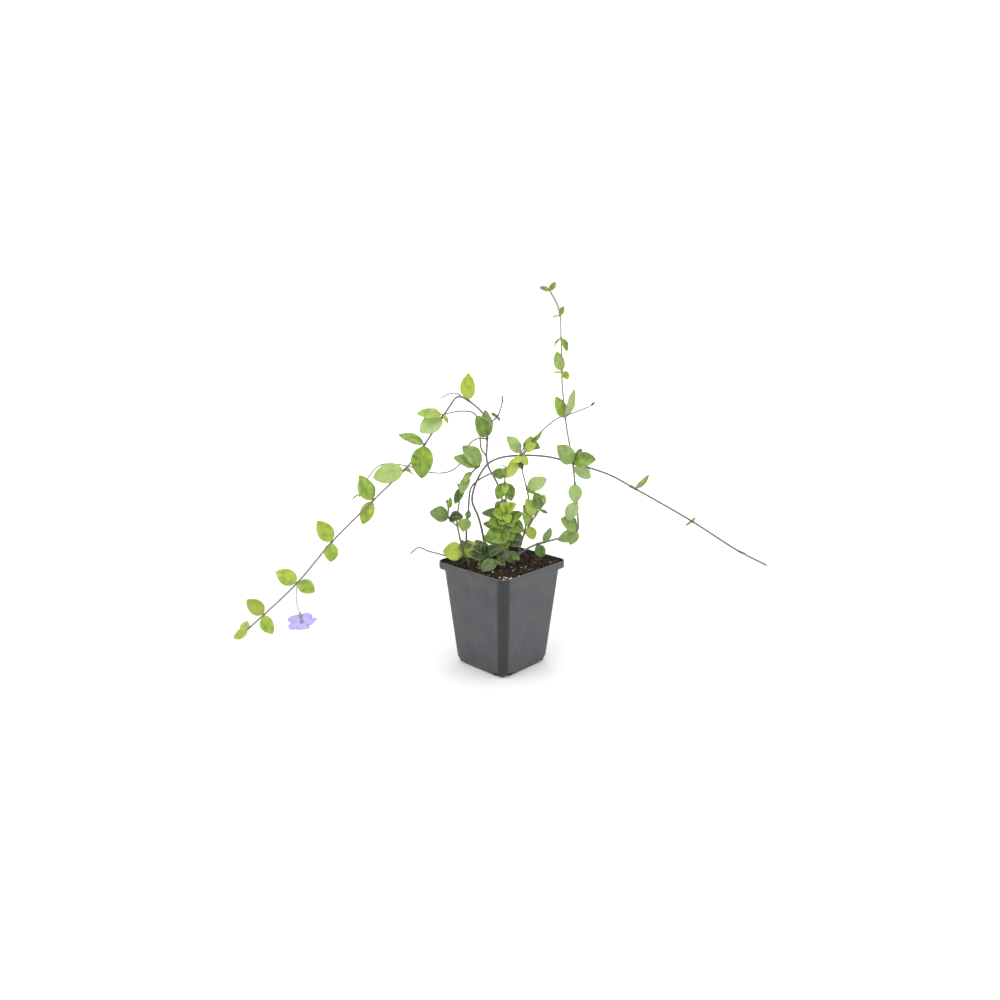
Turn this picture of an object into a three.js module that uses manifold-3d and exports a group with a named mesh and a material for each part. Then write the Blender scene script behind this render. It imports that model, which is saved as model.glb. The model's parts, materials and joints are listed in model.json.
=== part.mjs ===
// A lesser periwinkle in a square nursery pot: long trailing runners and a low leafy crown,
// rooted in peat, with one open flower. Millimetres, +Z up, origin at the middle of the pot's base.
import {
  BoxGeometry,
  BufferAttribute,
  BufferGeometry,
  CatmullRomCurve3,
  CylinderGeometry,
  Group,
  MathUtils,
  Mesh,
  MeshStandardMaterial,
  Vector3,
} from 'three';
import { mergeVertices } from 'three/addons/utils/BufferGeometryUtils.js';
import Module from 'manifold-3d';

const wasm = await Module();
wasm.setup();

// Pot: a tapering square tub with a turned-out rim
const POT_HEIGHT = 105.8;
const RIM_HALF = 46.6;
const RIM_CORNER = 9.5;
const RIM_BAND = 7;
const RIM_ROUNDING = 0.5;
const BODY_TOP_HALF = 43.1;
const BODY_TOP_CORNER = 10;
const BODY_LOW_HALF = 33.9;
const BODY_LOW_CORNER = 8;
const BASE_HALF = 31.6;
const BASE_CORNER = 7.5;
const BASE_CHAMFER = 6;
const WALL = 1.2;
const FLOOR = 1.6;
const CORNER_STEPS = 3;

// Drainage cut into the pot's base
const NOTCH_WIDTH = 7;
const NOTCH_HEIGHT = 3.7;
const NOTCH_TOOTH = 2.6;
const NOTCH_FROM = 36;
const CHANNEL_WIDTH = 6;
const CHANNEL_DEPTH = 0.7;
const PAD_RADIUS = 9;
const DRAIN_RADIUS = 4;
const DRAIN_FROM_MIDDLE = 21;

// Soil: the rooted block of peat, its top a little below the rim
const SOIL_TOP = 101.9;
const SOIL_LUMP = 1.1;
const SOIL_RINGS = [0.92, 0.76, 0.55, 0.34, 0.12];
const CLEAR = 0.35;
const STEM_FOOT = 90;
const HOLE_BOTTOM = 87;
const HOLE_CLEAR = 0.7;
const HOLE_SIDES = 8;
const DRAIN_SIDES = 12;

// Stems and leaves
const STEM_SIDES = 4;
const STEM_STEP = 13;
const BLADE_THICKNESS = 0.7;
const MIDRIB_THICKNESS = 1;
const LEAF_WIDTH = 0.55;
const LEAF_FOLD = 0.22;
const LEAF_ARCH = 0.07;
// The way an untwisted blade's upper face looks: up and to the front
const LEAF_FACING = new Vector3(0, -0.8, 0.6);
const PETIOLE_WIDTH = 1.2;
// Share of a leaf's length, and how wide the blade is there against its widest
const LARGE_LEAF = [[0, 0], [0.24, 0.78], [0.5, 1], [0.78, 0.62], [1, 0]];
const MIDDLE_LEAF = [[0, 0], [0.36, 1], [0.74, 0.7], [1, 0]];
const SMALL_LEAF = [[0, 0], [0.45, 1], [1, 0]];
const LARGE_FROM = 20;
const MIDDLE_FROM = 12;

// Flower: a narrow tube that opens into five lobes cut off aslant, on one of the runners
const FLOWERING = 'runner_left';
const FLOWER_CENTRE = new Vector3(-186, -60, 63.5);
const FLOWER_FACING = new Vector3(0.05, 0.24, -0.97).normalize();
const LOBES = 5;
const LOBE_LENGTH = 12.4;
const LOBE_WIDTH = 11.8;
const LOBE_SLANT = 0.22;
// Share of a lobe's length, its width there, and how far it bends back from the flower's face
const LOBE_OUTLINE = [[0.06, 0.16, 0], [0.4, 0.62, 0.3], [0.78, 1, 0.8], [1, 0.72, 1.8]];
const TUBE_LENGTH = 8.5;
const TUBE_RADII = [0.8, 1.1, 2.6];
const CALYX_LENGTH = 3.6;
const CALYX_RADII = [0.75, 1.7];
const SEPALS = 5;
const SEPAL_LENGTH = 4.5;
const SEPAL_WIDTH = 1.3;
const SEPAL_SPREAD = 38;

// The plant is described as one looks at it from its front: x to the right, y away, z up.
// The pot's sides stand square to X and Y, and its front corner is turned towards that viewer.
const FRONT_VIEW = 43.5;

// Each stem has its thickness at the root and tip, the points it passes, and its leaves:
// [distance along the stem, length, aim, tilt, turn, width]. Aim is the leaf's direction seen
// from the front, 0 to the right and 90 up, tilt leans it towards the front, turn rolls the
// blade about its midrib, and width is a share of the length. All in degrees and millimetres.
const PLANT = {
  runner_left: [
    {
      thick: [2, 1.4],
      route: [
        [6, 4, STEM_FOOT], [6, 4, 102], [5, 4, 125], [-2, 1, 177], [-14, -2, 204], [-14, -5, 227],
        [-14, -6, 246], [-25, -8, 260], [-41, -11, 269], [-49, -14, 260], [-61, -19, 242],
        [-84, -26, 210], [-120, -38, 175], [-157, -49, 139], [-189, -57, 102], [-220, -63, 73],
        [-235, -66, 60],
      ],
      leaves: [
        [143, 25, 115, 15, 0, 0.68], [143, 27, 95, -15, 40], [186, 26, 90, 0],
        [221, 26, 213, 10, 0, 0.75], [252, 26, 160, 0, 25], [252, 32, 265, 10, 0, 0.66],
        [282, 31, 195, 0, -15, 0.62], [282, 19, 305, -60], [323, 27, 117, 0, 30, 0.6],
        [323, 24, 128, -20, 0, 0.65], [323, 25, 245, 0], [377, 24, 120, 0, 0, 0.63],
        [377, 19, 265, 0, 0, 0.72], [426, 22, 150, 0, 0, 0.7], [426, 18, 330, 0, 0, 0.75],
        [469, 21, 135, 0, 0, 0.65], [469, 20, 290, 0, 0, 0.62], [487, 18, 195, -45], [488, 17, 215, 0],
      ],
    },
    {
      thick: [1.6, 1.2],
      route: [
        [-15, -3, 211], [-20, 1, 218], [-21, 2, 230], [-22, 1, 242], [-26, -3, 252],
        [-34, -8, 255], [-45, -15, 255], [-56, -20, 253],
      ],
      leaves: [[79, 10, 300, 20, 0, 0.4], [80, 24, 178, 5, 20, 0.62]],
    },
    {
      thick: [1.2, 1],
      route: [[-34, -9, 266], [-43, -9, 272], [-50, -9, 271], [-58, -9, 267]],
      leaves: [],
    },
    {
      thick: [1.4, 1.2],
      route: [[-14, -6, 242], [-9, -5, 245], [-4, -4, 250], [0, -3, 261], [1, -3, 267]],
      leaves: [[12, 7, 145, 0], [12, 5, 305, 20], [29, 5, 95, 0, 0, 0.4]],
    },
    {
      thick: [1.4, 1.2],
      route: [
        [-14, -5, 228], [-23, -3, 228], [-31, 2, 222], [-39, 3, 204], [-50, -2, 196],
        [-67, -9, 196], [-93, -13, 204], [-114, -15, 205], [-126, -17, 194], [-136, -20, 174],
      ],
      leaves: [[158, 11, 220, 0, 40, 0.35]],
    },
    {
      thick: [1.3, 1.4],
      route: [[-189, -57, 102], [-190, -60, 88], [-187, -64, 74.5]],
      leaves: [],
    },
  ],
  runner_right: [
    {
      thick: [2, 1.7],
      route: [
        [-17, 4, STEM_FOOT], [-17, 4, 102], [-18, 4, 126], [-23, 3, 149], [-29, 2, 166],
        [-25, 2, 184], [-14, 2, 202], [-4, 6, 207], [14, 11, 209], [44, 11, 208], [69, 9, 202],
        [105, 12, 190], [130, 16, 176], [191, 24, 140], [243, 31, 106], [275, 35, 89],
      ],
      leaves: [
        [205, 25, 131, 10, 0, 0.75], [205, 23, 12, 15, -10, 0.8], [206, 18, 60, -30, 0, 0.4],
        [274, 20, 50, 10, 50, 0.36], [274, 9, 155, -40, 0, 0.4], [344, 8, 220, 0, 30, 0.4],
        [344, 8, 25, -50, 20, 0.4], [408, 6, 350, 20, 30, 0.4],
      ],
    },
  ],
  runner_up: [
    {
      thick: [2, 1.2],
      route: [
        [11, -2, STEM_FOOT], [11, -2, 101], [12, -1, 107], [20, 1, 114], [33, 5, 120], [51, 9, 124],
        [66, 11, 128], [75, 11, 134], [75, 12, 153], [72, 14, 182], [70, 15, 200], [63, 15, 237],
        [58, 12, 278], [56, 8, 320], [53, 3, 349], [44, -2, 366],
      ],
      leaves: [
        [46, 15, 290, 20, 0, 0.75], [52, 17, 65, 0, 30, 0.5], [86, 20, 203, 15, -20, 0.62],
        [88, 17, 240, 30, 0, 0.6], [90, 21, 148, 10, 10, 0.85], [117, 21, 243, 15, 0, 0.62],
        [136, 20, 270, 10, 0, 0.7], [152, 21, 328, -5, -10, 0.85], [201, 24, 115, 5, 10],
        [201, 30, 75, 0, 55, 0.4], [246, 8, 180, 0, 30, 0.4], [247, 20, 105, 0],
        [247, 10, 310, 20, 0, 0.8], [279, 14, 295, 0, 0, 0.45], [279, 10, 230, 0, 40, 0.4],
        [300, 9, 200, -10, 40, 0.4], [300, 9, 70, 10], [326, 10, 165, 10], [326, 9, 55, 0, 0, 0.6],
      ],
    },
  ],
  runner_back: [
    {
      thick: [1.9, 1.2],
      route: [
        [-33, 9, STEM_FOOT], [-33, 9, 102], [-35, 8, 119], [-35, 8, 138], [-33, 7, 155],
        [-30, 7, 178], [-22, 7, 186], [-10, 8, 192], [3, 8, 197], [12, 7, 201], [19, 6, 210],
        [28, 6, 223], [53, 6, 246], [67, 6, 251], [85, 6, 258],
      ],
      leaves: [
        [57, 9, 75, 10, 0, 0.7], [57, 15, 250, 35, 0, 0.9], [130, 6, 160, 0, 40, 0.4],
        [134, 13, 245, 10, 0, 0.6], [148, 19, 245, -5], [149, 11, 280, -5, 20],
        [158, 13, 35, 30, 0, 0.7], [237, 6, 40, 0, 0, 0.4],
      ],
    },
  ],
  shoot_middle: [
    {
      thick: [1.8, 1.2],
      route: [
        [17, 9, STEM_FOOT], [17, 9, 102], [18, 9, 116], [22, 7, 131], [26, 4, 156], [26, 3, 169],
        [24, 2, 179], [19, 1, 199], [17, 0, 211], [24, -1, 222],
      ],
      leaves: [
        [89, 10, 335, 20], [90, 22, 25, 0, 0, 0.68], [121, 12, 250, 15, 0, 0.6],
        [126, 21, 128, 0, 20, 0.72], [131, 15, 55, -15, 20, 0.5], [136, 14, 350, 20, 0, 0.75],
        [137, 19, 40, 0, 40, 0.28],
      ],
    },
    {
      thick: [1.6, 1.2],
      route: [[22, 7, 130], [27, 4, 140], [35, 1, 154], [43, -1, 166]],
      leaves: [
        [10, 25, 102, 10, 30, 0.5], [11, 14, 290, 15, 0, 0.8], [24, 21, 118, 10, 0, 0.62],
        [32, 19, 105, 10, 0, 0.72], [32, 9, 335, 0, 40, 0.4], [41, 9, 105, 0, 20, 0.6],
      ],
    },
  ],
  shoot_left: [
    {
      thick: [1.8, 1.2],
      route: [
        [-39, 3, STEM_FOOT], [-39, 3, 114], [-42, 2, 131], [-44, 0, 144], [-43, -2, 155],
        [-40, -5, 172], [-35, -7, 186], [-29, -8, 196], [-21, -8, 202],
      ],
      leaves: [
        [88, 10, 120, -10, 40, 0.4], [94, 19, 243, 10, 10, 0.5], [98, 12, 255, 30, 0, 0.5],
        [106, 19, 246, 15, 0, 0.5], [112, 17, 232, 10, 20, 0.45], [121, 26, 130, 0, 10, 0.66],
        [121, 27, 160, 5, 10, 0.56], [121, 21, 115, -15, 30, 0.45], [121, 14, 180, 25, 0, 0.4],
      ],
    },
    {
      thick: [1.4, 1.2],
      route: [[-43, 1, 139], [-48, -1, 145], [-52, -3, 150], [-52, -4, 159], [-53, -4, 166]],
      leaves: [
        [14, 20, 160, 5, 0, 0.82], [14, 22, 20, 45, 10, 0.56], [24, 12, 80, 0, 20, 0.42],
        [29, 5, 100, 0],
      ],
    },
  ],
  shoot_low_left: [
    {
      thick: [1.7, 1.2],
      route: [[-33, -3, STEM_FOOT], [-33, -4, 105], [-38, -6, 115], [-40, -7, 122]],
      leaves: [
        [22, 19, 60, 10, 0, 0.92], [26, 20.5, 172, 10, 0, 0.95], [29, 11, 90, -15, 0, 0.6],
        [33, 13, 25, 0, 0, 0.6],
      ],
    },
    {
      thick: [1.4, 1.2],
      route: [
        [-37, -6, 112], [-49, -8, 111], [-60, -10, 115], [-72, -12, 119], [-81, -14, 123],
        [-89, -16, 117],
      ],
      leaves: [],
    },
  ],
  shoot_front: [
    {
      thick: [1.7, 1.2],
      route: [[-16, -14, STEM_FOOT], [-16, -14, 105], [-15, -17, 115], [-18, -19, 123]],
      leaves: [
        [22, 13, 225, 35, 0, 0.7], [25, 18, 165, 5, 0, 0.65], [27, 20, 30, 15],
        [31, 14, 150, 15, 0, 0.6], [30, 15, 95, 25, 0, 0.6], [34, 12, 135, -20, 0, 0.6],
      ],
    },
    {
      thick: [1.5, 1.2],
      route: [[-15, -16, 111], [-10, -19, 111], [-5, -21, 113]],
      leaves: [
        [11, 19, 212, 29, 0, 0.65], [12, 16, 35, 10, 0, 0.6], [12, 11, 335, 30, 0, 0.6],
      ],
    },
  ],
  crown_bunch: [
    {
      thick: [2, 1.2],
      route: [
        [1, -6, STEM_FOOT], [1, -6, 102], [3, -6, 120], [5, -7, 145], [4, -8, 169], [3, -9, 185],
        [3, -12, 194], [9, -14, 203], [17, -14, 209], [22, -14, 217], [24, -14, 223],
      ],
      leaves: [
        [24, 17, 345, 20, 0, 0.5], [27, 15, 305, 45, 0, 0.6], [36, 16, 200, 20, 0, 0.6],
        [38, 17, 350, 10, 0, 0.6], [40, 15, 245, 50, 0, 0.7], [44, 16, 30, -55, 0, 0.6],
        [46, 24, 187, 30, 0, 0.85], [47, 18, 335, 0, 0, 0.6], [50, 16, 300, 50, 0, 0.65],
        [51, 17, 262, 45, 30], [52, 16, 60, -50, 0, 0.6], [56, 19, 338, 25, 0, 0.8],
        [57, 20, 176, 20, 0, 0.75], [59, 18, 28, 15, 0, 0.65], [60, 13, 320, 55, 0, 0.7],
        [61, 15, 10, -50, 0, 0.6], [62, 14, 215, 50, 0, 0.7], [64, 16, 165, 25, 0, 0.8],
        [63, 25, 172, 5, 0, 0.45], [66, 13, 280, 55, 0, 0.7], [68, 14, 125, 35, 0, 0.7],
        [68, 15, 45, 30, 0, 0.7], [70, 13, 85, 40, 0, 0.7], [96, 12, 268, 45, 0, 0.6],
        [97, 18, 245, 15, 0, 0.66], [97, 19, 290, 15, 0, 0.66], [104, 13, 160, 10, 0, 0.9],
        [105, 9, 165, -10, 0, 0.45], [112, 15, 60, 10, 20, 0.4], [115, 12, 215, 15, 0, 0.6],
        [119, 12, 262, 30, 0, 0.6], [123, 18, 235, 20, 0, 0.5], [124, 9, 300, 10],
        [130, 12, 205, 25, 0, 0.6], [132, 11, 290, 25, 0, 0.6], [136, 13, 40, 15, 0, 0.7],
        [141, 9, 70, -10],
      ],
    },
  ],
  shoot_back: [
    {
      thick: [1.8, 1.2],
      route: [[-4, 24, STEM_FOOT], [-4, 24, 102], [-5, 27, 118], [-3, 30, 134], [-5, 29, 150]],
      leaves: [
        [26, 18, 20, -30, 0, 0.6], [26, 18, 165, -35, 0, 0.6], [42, 19, 60, -60, 0, 0.6],
        [44, 17, 170, 15], [59, 16, 60, 10], [59, 12, 85, -35],
      ],
    },
    {
      thick: [1.5, 1.2],
      route: [[-5, 27, 116], [4, 33, 124], [12, 37, 128]],
      leaves: [[10, 15, 50, -40], [17, 16, 350, -30, 0, 0.6], [17, 14, 130, -50, 0, 0.6]],
    },
  ],
};

const COLOURS = {
  pot: 0x55555a,
  soil: 0x2c211b,
  flower: 0xc4bce8,
  runner_left: 0x9ab83c,
  runner_right: 0x6f9a52,
  runner_up: 0x8cb068,
  runner_back: 0x86a83e,
  shoot_middle: 0x7f9d44,
  shoot_left: 0x6d9062,
  shoot_low_left: 0xa9bc3a,
  shoot_front: 0x4d6b4c,
  crown_bunch: 0x7fae3c,
  shoot_back: 0x4f7a40,
};

// Turns rings with the same number of points into one closed skin, with a cap at each end.
// From the side named by lower on, quads are split the other way, so that a blade's two faces
// are split alike.
function loft(rings, lower = Infinity) {
  const sides = rings[0].length;
  const index = [];
  for (let ring = 0; ring < rings.length - 1; ring += 1) {
    for (let side = 0; side < sides; side += 1) {
      const near = ring * sides + side;
      const next = ring * sides + ((side + 1) % sides);
      if (side < lower) {
        index.push(near, next, next + sides, near, next + sides, near + sides);
      } else {
        index.push(near, next, near + sides, next, next + sides, near + sides);
      }
    }
  }
  const last = (rings.length - 1) * sides;
  for (let side = 2; side < sides; side += 1) {
    const after = (side + 1) % sides;
    index.push(1, after, side);
    index.push(last + 1, last + side, last + after);
  }
  const geometry = new BufferGeometry();
  const points = rings.flat().flatMap((point) => [point.x, point.y, point.z]);
  geometry.setAttribute('position', new BufferAttribute(new Float32Array(points), 3));
  geometry.setIndex(index);
  return geometry;
}

function solidFrom(geometry) {
  const bare = geometry.clone();
  bare.deleteAttribute('normal');
  bare.deleteAttribute('uv');
  const merged = mergeVertices(bare);
  return new wasm.Manifold(new wasm.Mesh({
    numProp: 3,
    vertProperties: merged.getAttribute('position').array,
    triVerts: new Uint32Array(merged.getIndex().array),
  }));
}

// The skin of a solid, without loose scraps and without hollows that fusing has sealed.
function geometryFrom(solid) {
  const bodies = solid.decompose();
  const largest = bodies.reduce((best, body) => (body.volume() > best.volume() ? body : best));
  const mesh = largest.getMesh();
  const geometry = new BufferGeometry();
  geometry.setAttribute('position', new BufferAttribute(new Float32Array(mesh.vertProperties), 3));
  geometry.setIndex(Array.from(mesh.triVerts));
  geometry.computeVertexNormals();
  return geometry;
}

function fuse(solids) {
  return solids.reduce((whole, solid) => whole.add(solid));
}

// A level square outline with round corners, counter-clockwise seen from above.
function squareRing(half, corner, height, sideSteps = 1) {
  const arcs = [];
  for (let quarter = 0; quarter < 4; quarter += 1) {
    const diagonal = MathUtils.degToRad(45 + 90 * quarter);
    const reach = (half - corner) * Math.SQRT2;
    for (let step = 0; step <= CORNER_STEPS; step += 1) {
      const angle = diagonal + MathUtils.degToRad(90 * (step / CORNER_STEPS - 0.5));
      arcs.push(new Vector3(
        reach * Math.cos(diagonal) + corner * Math.cos(angle),
        reach * Math.sin(diagonal) + corner * Math.sin(angle),
        height,
      ));
    }
  }
  const points = [];
  arcs.forEach((point, place) => {
    points.push(point);
    const endsArc = place % (CORNER_STEPS + 1) === CORNER_STEPS;
    const next = arcs[(place + 1) % arcs.length];
    for (let step = 1; endsArc && step < sideSteps; step += 1) {
      points.push(point.clone().lerp(next, step / sideSteps));
    }
  });
  return points;
}

function uprightCylinder(radius, bottom, top, sides, centre) {
  const geometry = new CylinderGeometry(radius, radius, top - bottom, sides);
  geometry.rotateX(Math.PI / 2).translate(centre.x, centre.y, (top + bottom) / 2);
  return solidFrom(geometry);
}

// Half-width of the pot's wall, outside, at a height.
function bodyHalf(height) {
  const rimBottom = POT_HEIGHT - RIM_BAND;
  return MathUtils.mapLinear(height, BASE_CHAMFER, rimBottom, BODY_LOW_HALF, BODY_TOP_HALF);
}

function potShell() {
  const rimBottom = POT_HEIGHT - RIM_BAND;
  const ledge = rimBottom + WALL;
  const rimInner = RIM_HALF - WALL;
  return solidFrom(loft([
    squareRing(BASE_HALF, BASE_CORNER, 0),
    squareRing(BODY_LOW_HALF, BODY_LOW_CORNER, BASE_CHAMFER),
    squareRing(BODY_TOP_HALF, BODY_TOP_CORNER, rimBottom),
    squareRing(RIM_HALF - RIM_ROUNDING, RIM_CORNER, rimBottom),
    squareRing(RIM_HALF, RIM_CORNER, rimBottom + RIM_ROUNDING),
    squareRing(RIM_HALF, RIM_CORNER, POT_HEIGHT - RIM_ROUNDING),
    squareRing(RIM_HALF - RIM_ROUNDING, RIM_CORNER, POT_HEIGHT),
    squareRing(rimInner, RIM_CORNER - WALL, POT_HEIGHT),
    squareRing(rimInner, RIM_CORNER - WALL, ledge),
    squareRing(bodyHalf(rimBottom) - WALL, BODY_TOP_CORNER - WALL, ledge - RIM_ROUNDING),
    squareRing(BODY_LOW_HALF - WALL, BODY_LOW_CORNER - WALL, BASE_CHAMFER),
    squareRing(BASE_HALF - WALL, BASE_CORNER - WALL, FLOOR),
  ]));
}

// Two notches under each corner, a shallow channel that runs to them and a drain hole beside it.
function drainCuts() {
  const cuts = [];
  const notchLength = BODY_LOW_HALF * Math.SQRT2 - NOTCH_FROM;
  const channelLength = NOTCH_FROM - PAD_RADIUS;
  for (let quarter = 0; quarter < 4; quarter += 1) {
    const side = quarter * Math.PI / 2;
    const diagonal = side + Math.PI / 4;
    for (const hand of [-1, 1]) {
      const notch = new BoxGeometry(notchLength, NOTCH_WIDTH, 2 * NOTCH_HEIGHT);
      notch.translate(NOTCH_FROM + notchLength / 2, hand * (NOTCH_WIDTH + NOTCH_TOOTH) / 2, 0);
      cuts.push(solidFrom(notch.rotateZ(diagonal)));
    }
    const channel = new BoxGeometry(channelLength, CHANNEL_WIDTH, 2 * CHANNEL_DEPTH);
    channel.translate(PAD_RADIUS + channelLength / 2, 0, 0);
    cuts.push(solidFrom(channel.rotateZ(diagonal)));
    const drain = new Vector3(Math.cos(side), Math.sin(side), 0).multiplyScalar(DRAIN_FROM_MIDDLE);
    cuts.push(uprightCylinder(DRAIN_RADIUS, -FLOOR, 2 * FLOOR, DRAIN_SIDES, drain));
  }
  return cuts;
}

function pot() {
  return drainCuts().reduce((shell, cut) => shell.subtract(cut), potShell());
}

function toPot(point) {
  return point.clone().applyAxisAngle(new Vector3(0, 0, 1), MathUtils.degToRad(FRONT_VIEW));
}

// How far the peat's surface lies above or below its mean height.
function lump({ x, y }) {
  return SOIL_LUMP * (Math.sin(0.19 * x + 1.3) * Math.cos(0.16 * y - 0.4)
    + 0.6 * Math.sin(0.37 * x - 0.31 * y) + 0.4 * Math.cos(0.52 * y + 0.44 * x));
}

function soil() {
  const sideSteps = 3;
  const ledge = POT_HEIGHT - RIM_BAND + WALL;
  const shoulder = ledge + 3 * CLEAR;
  const belowLedge = POT_HEIGHT - RIM_BAND - CLEAR;
  const rimHalf = RIM_HALF - WALL - CLEAR;
  const rimCorner = RIM_CORNER - WALL - CLEAR;
  const topHalf = bodyHalf(belowLedge) - WALL - CLEAR;
  const topCorner = BODY_TOP_CORNER - WALL - CLEAR;
  const rings = [
    squareRing(BASE_HALF - WALL - CLEAR, BASE_CORNER - WALL - CLEAR, FLOOR + CLEAR, sideSteps),
    squareRing(BODY_LOW_HALF - WALL - CLEAR, BODY_LOW_CORNER - WALL - CLEAR, BASE_CHAMFER, sideSteps),
    squareRing(topHalf, topCorner, belowLedge, sideSteps),
    squareRing(topHalf, topCorner, ledge + CLEAR, sideSteps),
    squareRing(rimHalf, rimCorner, ledge + CLEAR, sideSteps),
    squareRing(rimHalf, rimCorner, shoulder, sideSteps),
  ];
  for (const share of SOIL_RINGS) {
    const ring = squareRing(rimHalf * share, rimCorner * share, SOIL_TOP, sideSteps);
    ring.forEach((point) => point.setZ(SOIL_TOP + lump(point)));
    rings.push(ring);
  }
  const holes = [];
  for (const stem of Object.values(PLANT).flat()) {
    const [x, y, z] = stem.route[0];
    if (z === STEM_FOOT) {
      const radius = stem.thick[0] / 2 + HOLE_CLEAR;
      const foot = toPot(new Vector3(x, y, 0));
      holes.push(uprightCylinder(radius, HOLE_BOTTOM, POT_HEIGHT, HOLE_SIDES, foot));
    }
  }
  return holes.reduce((peat, hole) => peat.subtract(hole), solidFrom(loft(rings)));
}

// A round bar along a curve, thinning evenly from its root to its tip.
function bar(curve, radii, steps) {
  const frames = curve.computeFrenetFrames(steps);
  const rings = [];
  for (let step = 0; step <= steps; step += 1) {
    const share = step / steps;
    const centre = curve.getPointAt(share);
    const place = share * (radii.length - 1);
    const before = Math.min(Math.floor(place), radii.length - 2);
    const radius = MathUtils.lerp(radii[before], radii[before + 1], place - before);
    const ring = [];
    for (let side = 0; side < STEM_SIDES; side += 1) {
      const angle = 2 * Math.PI * side / STEM_SIDES;
      ring.push(centre.clone()
        .addScaledVector(frames.normals[step], radius * Math.cos(angle))
        .addScaledVector(frames.binormals[step], radius * Math.sin(angle)));
    }
    rings.push(ring);
  }
  return solidFrom(loft(rings));
}

// A thin blade with a raised midrib. Each station gives how far along it lies, how far its two
// edges lie to the left and right, how much further the right edge reaches, and its rise.
function blade(root, along, facing, stations, fold) {
  const across = new Vector3().crossVectors(along, facing);
  const rings = stations.map(({ reach, half, slant = 0, rise }) => {
    const point = (side, height) => root.clone()
      .addScaledVector(along, reach + slant * side)
      .addScaledVector(across, side)
      .addScaledVector(facing, rise + height);
    const lift = half * fold;
    const edge = BLADE_THICKNESS / 2;
    const rib = MIDRIB_THICKNESS / 2;
    return [
      point(-half, lift + edge), point(0, rib), point(half, lift + edge),
      point(half, lift - edge), point(0, -rib), point(-half, lift - edge),
    ];
  });
  return solidFrom(loft(rings, 3));
}

function leaf(curve, [at, length, aim, tilt, turn = 0, width = LEAF_WIDTH]) {
  const root = curve.getPointAt(Math.min(1, at / curve.getLength()));
  const [aimed, tilted, turned] = [aim, tilt, turn].map(MathUtils.degToRad);
  const along = new Vector3(
    Math.cos(aimed) * Math.cos(tilted),
    -Math.sin(tilted),
    Math.sin(aimed) * Math.cos(tilted),
  );
  const facing = LEAF_FACING.clone().projectOnPlane(along).normalize();
  facing.applyAxisAngle(along, turned);
  let outline = SMALL_LEAF;
  if (length >= MIDDLE_FROM) outline = MIDDLE_LEAF;
  if (length >= LARGE_FROM) outline = LARGE_LEAF;
  const stations = outline.map(([share, wide]) => ({
    reach: share * length,
    half: Math.max(PETIOLE_WIDTH, wide * width * length) / 2,
    rise: 4 * share * (1 - share) * LEAF_ARCH * length,
  }));
  return blade(root, along, facing, stations, LEAF_FOLD);
}

function leafyStem({ thick, route, leaves }) {
  const curve = new CatmullRomCurve3(route.map((point) => new Vector3(...point)));
  const steps = Math.max(3, Math.round(curve.getLength() / STEM_STEP));
  const stem = bar(curve, thick.map((thickness) => thickness / 2), steps);
  return fuse([stem, ...leaves.map((row) => leaf(curve, row))]);
}

function spoke(place, count) {
  const level = new Vector3(1, 0, 0).projectOnPlane(FLOWER_FACING).normalize();
  return level.applyAxisAngle(FLOWER_FACING, 2 * Math.PI * place / count);
}

function flowerPoint(behind) {
  return FLOWER_CENTRE.clone().addScaledVector(FLOWER_FACING, -behind);
}

// The green cup behind the flower, with its five narrow sepals.
function calyx() {
  const end = flowerPoint(TUBE_LENGTH + CLEAR);
  const start = flowerPoint(TUBE_LENGTH + CLEAR + CALYX_LENGTH);
  const axis = new CatmullRomCurve3([start, end]);
  const parts = [bar(axis, CALYX_RADII, 2)];
  const spread = MathUtils.degToRad(SEPAL_SPREAD);
  for (let sepal = 0; sepal < SEPALS; sepal += 1) {
    const outward = spoke(sepal + 0.5, SEPALS);
    const root = end.clone().addScaledVector(outward, CALYX_RADII[1] - BLADE_THICKNESS);
    root.addScaledVector(FLOWER_FACING, -BLADE_THICKNESS);
    const along = FLOWER_FACING.clone().multiplyScalar(Math.cos(spread));
    along.addScaledVector(outward, Math.sin(spread));
    const facing = outward.clone().projectOnPlane(along).normalize();
    const stations = [0, 0.6, 1].map((share) => ({
      reach: share * SEPAL_LENGTH,
      half: SEPAL_WIDTH * (1 - share / 2) / 2,
      rise: 0,
    }));
    parts.push(blade(root, along, facing, stations, 0));
  }
  return fuse(parts);
}

function flower() {
  const tube = new CatmullRomCurve3([flowerPoint(TUBE_LENGTH), FLOWER_CENTRE]);
  const parts = [bar(tube, TUBE_RADII, 3)];
  for (let lobe = 0; lobe < LOBES; lobe += 1) {
    const stations = LOBE_OUTLINE.map(([share, wide, back]) => ({
      reach: share * LOBE_LENGTH,
      half: wide * LOBE_WIDTH / 2,
      slant: LOBE_SLANT * share,
      rise: -back,
    }));
    parts.push(blade(flowerPoint(1), spoke(lobe, LOBES), FLOWER_FACING, stations, 0));
  }
  return fuse(parts);
}

function piece(name, solid) {
  const material = new MeshStandardMaterial({
    color: COLOURS[name],
    roughness: name === 'soil' ? 1 : 0.5,
    metalness: 0,
  });
  const mesh = new Mesh(geometryFrom(solid), material);
  mesh.name = name;
  return mesh;
}

const plant = new Group();
plant.rotation.z = MathUtils.degToRad(FRONT_VIEW);
for (const [name, stems] of Object.entries(PLANT)) {
  const parts = stems.map(leafyStem);
  if (name === FLOWERING) parts.push(calyx());
  plant.add(piece(name, fuse(parts)));
}
plant.add(piece('flower', flower()));

const periwinkle = new Group();
periwinkle.add(piece('pot', pot()), piece('soil', soil()), plant);

export default periwinkle;
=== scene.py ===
import bisect
import functools
import itertools
import json
import math
import random
from typing import NamedTuple

import bpy
from mathutils import Matrix, Vector, noise


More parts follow.
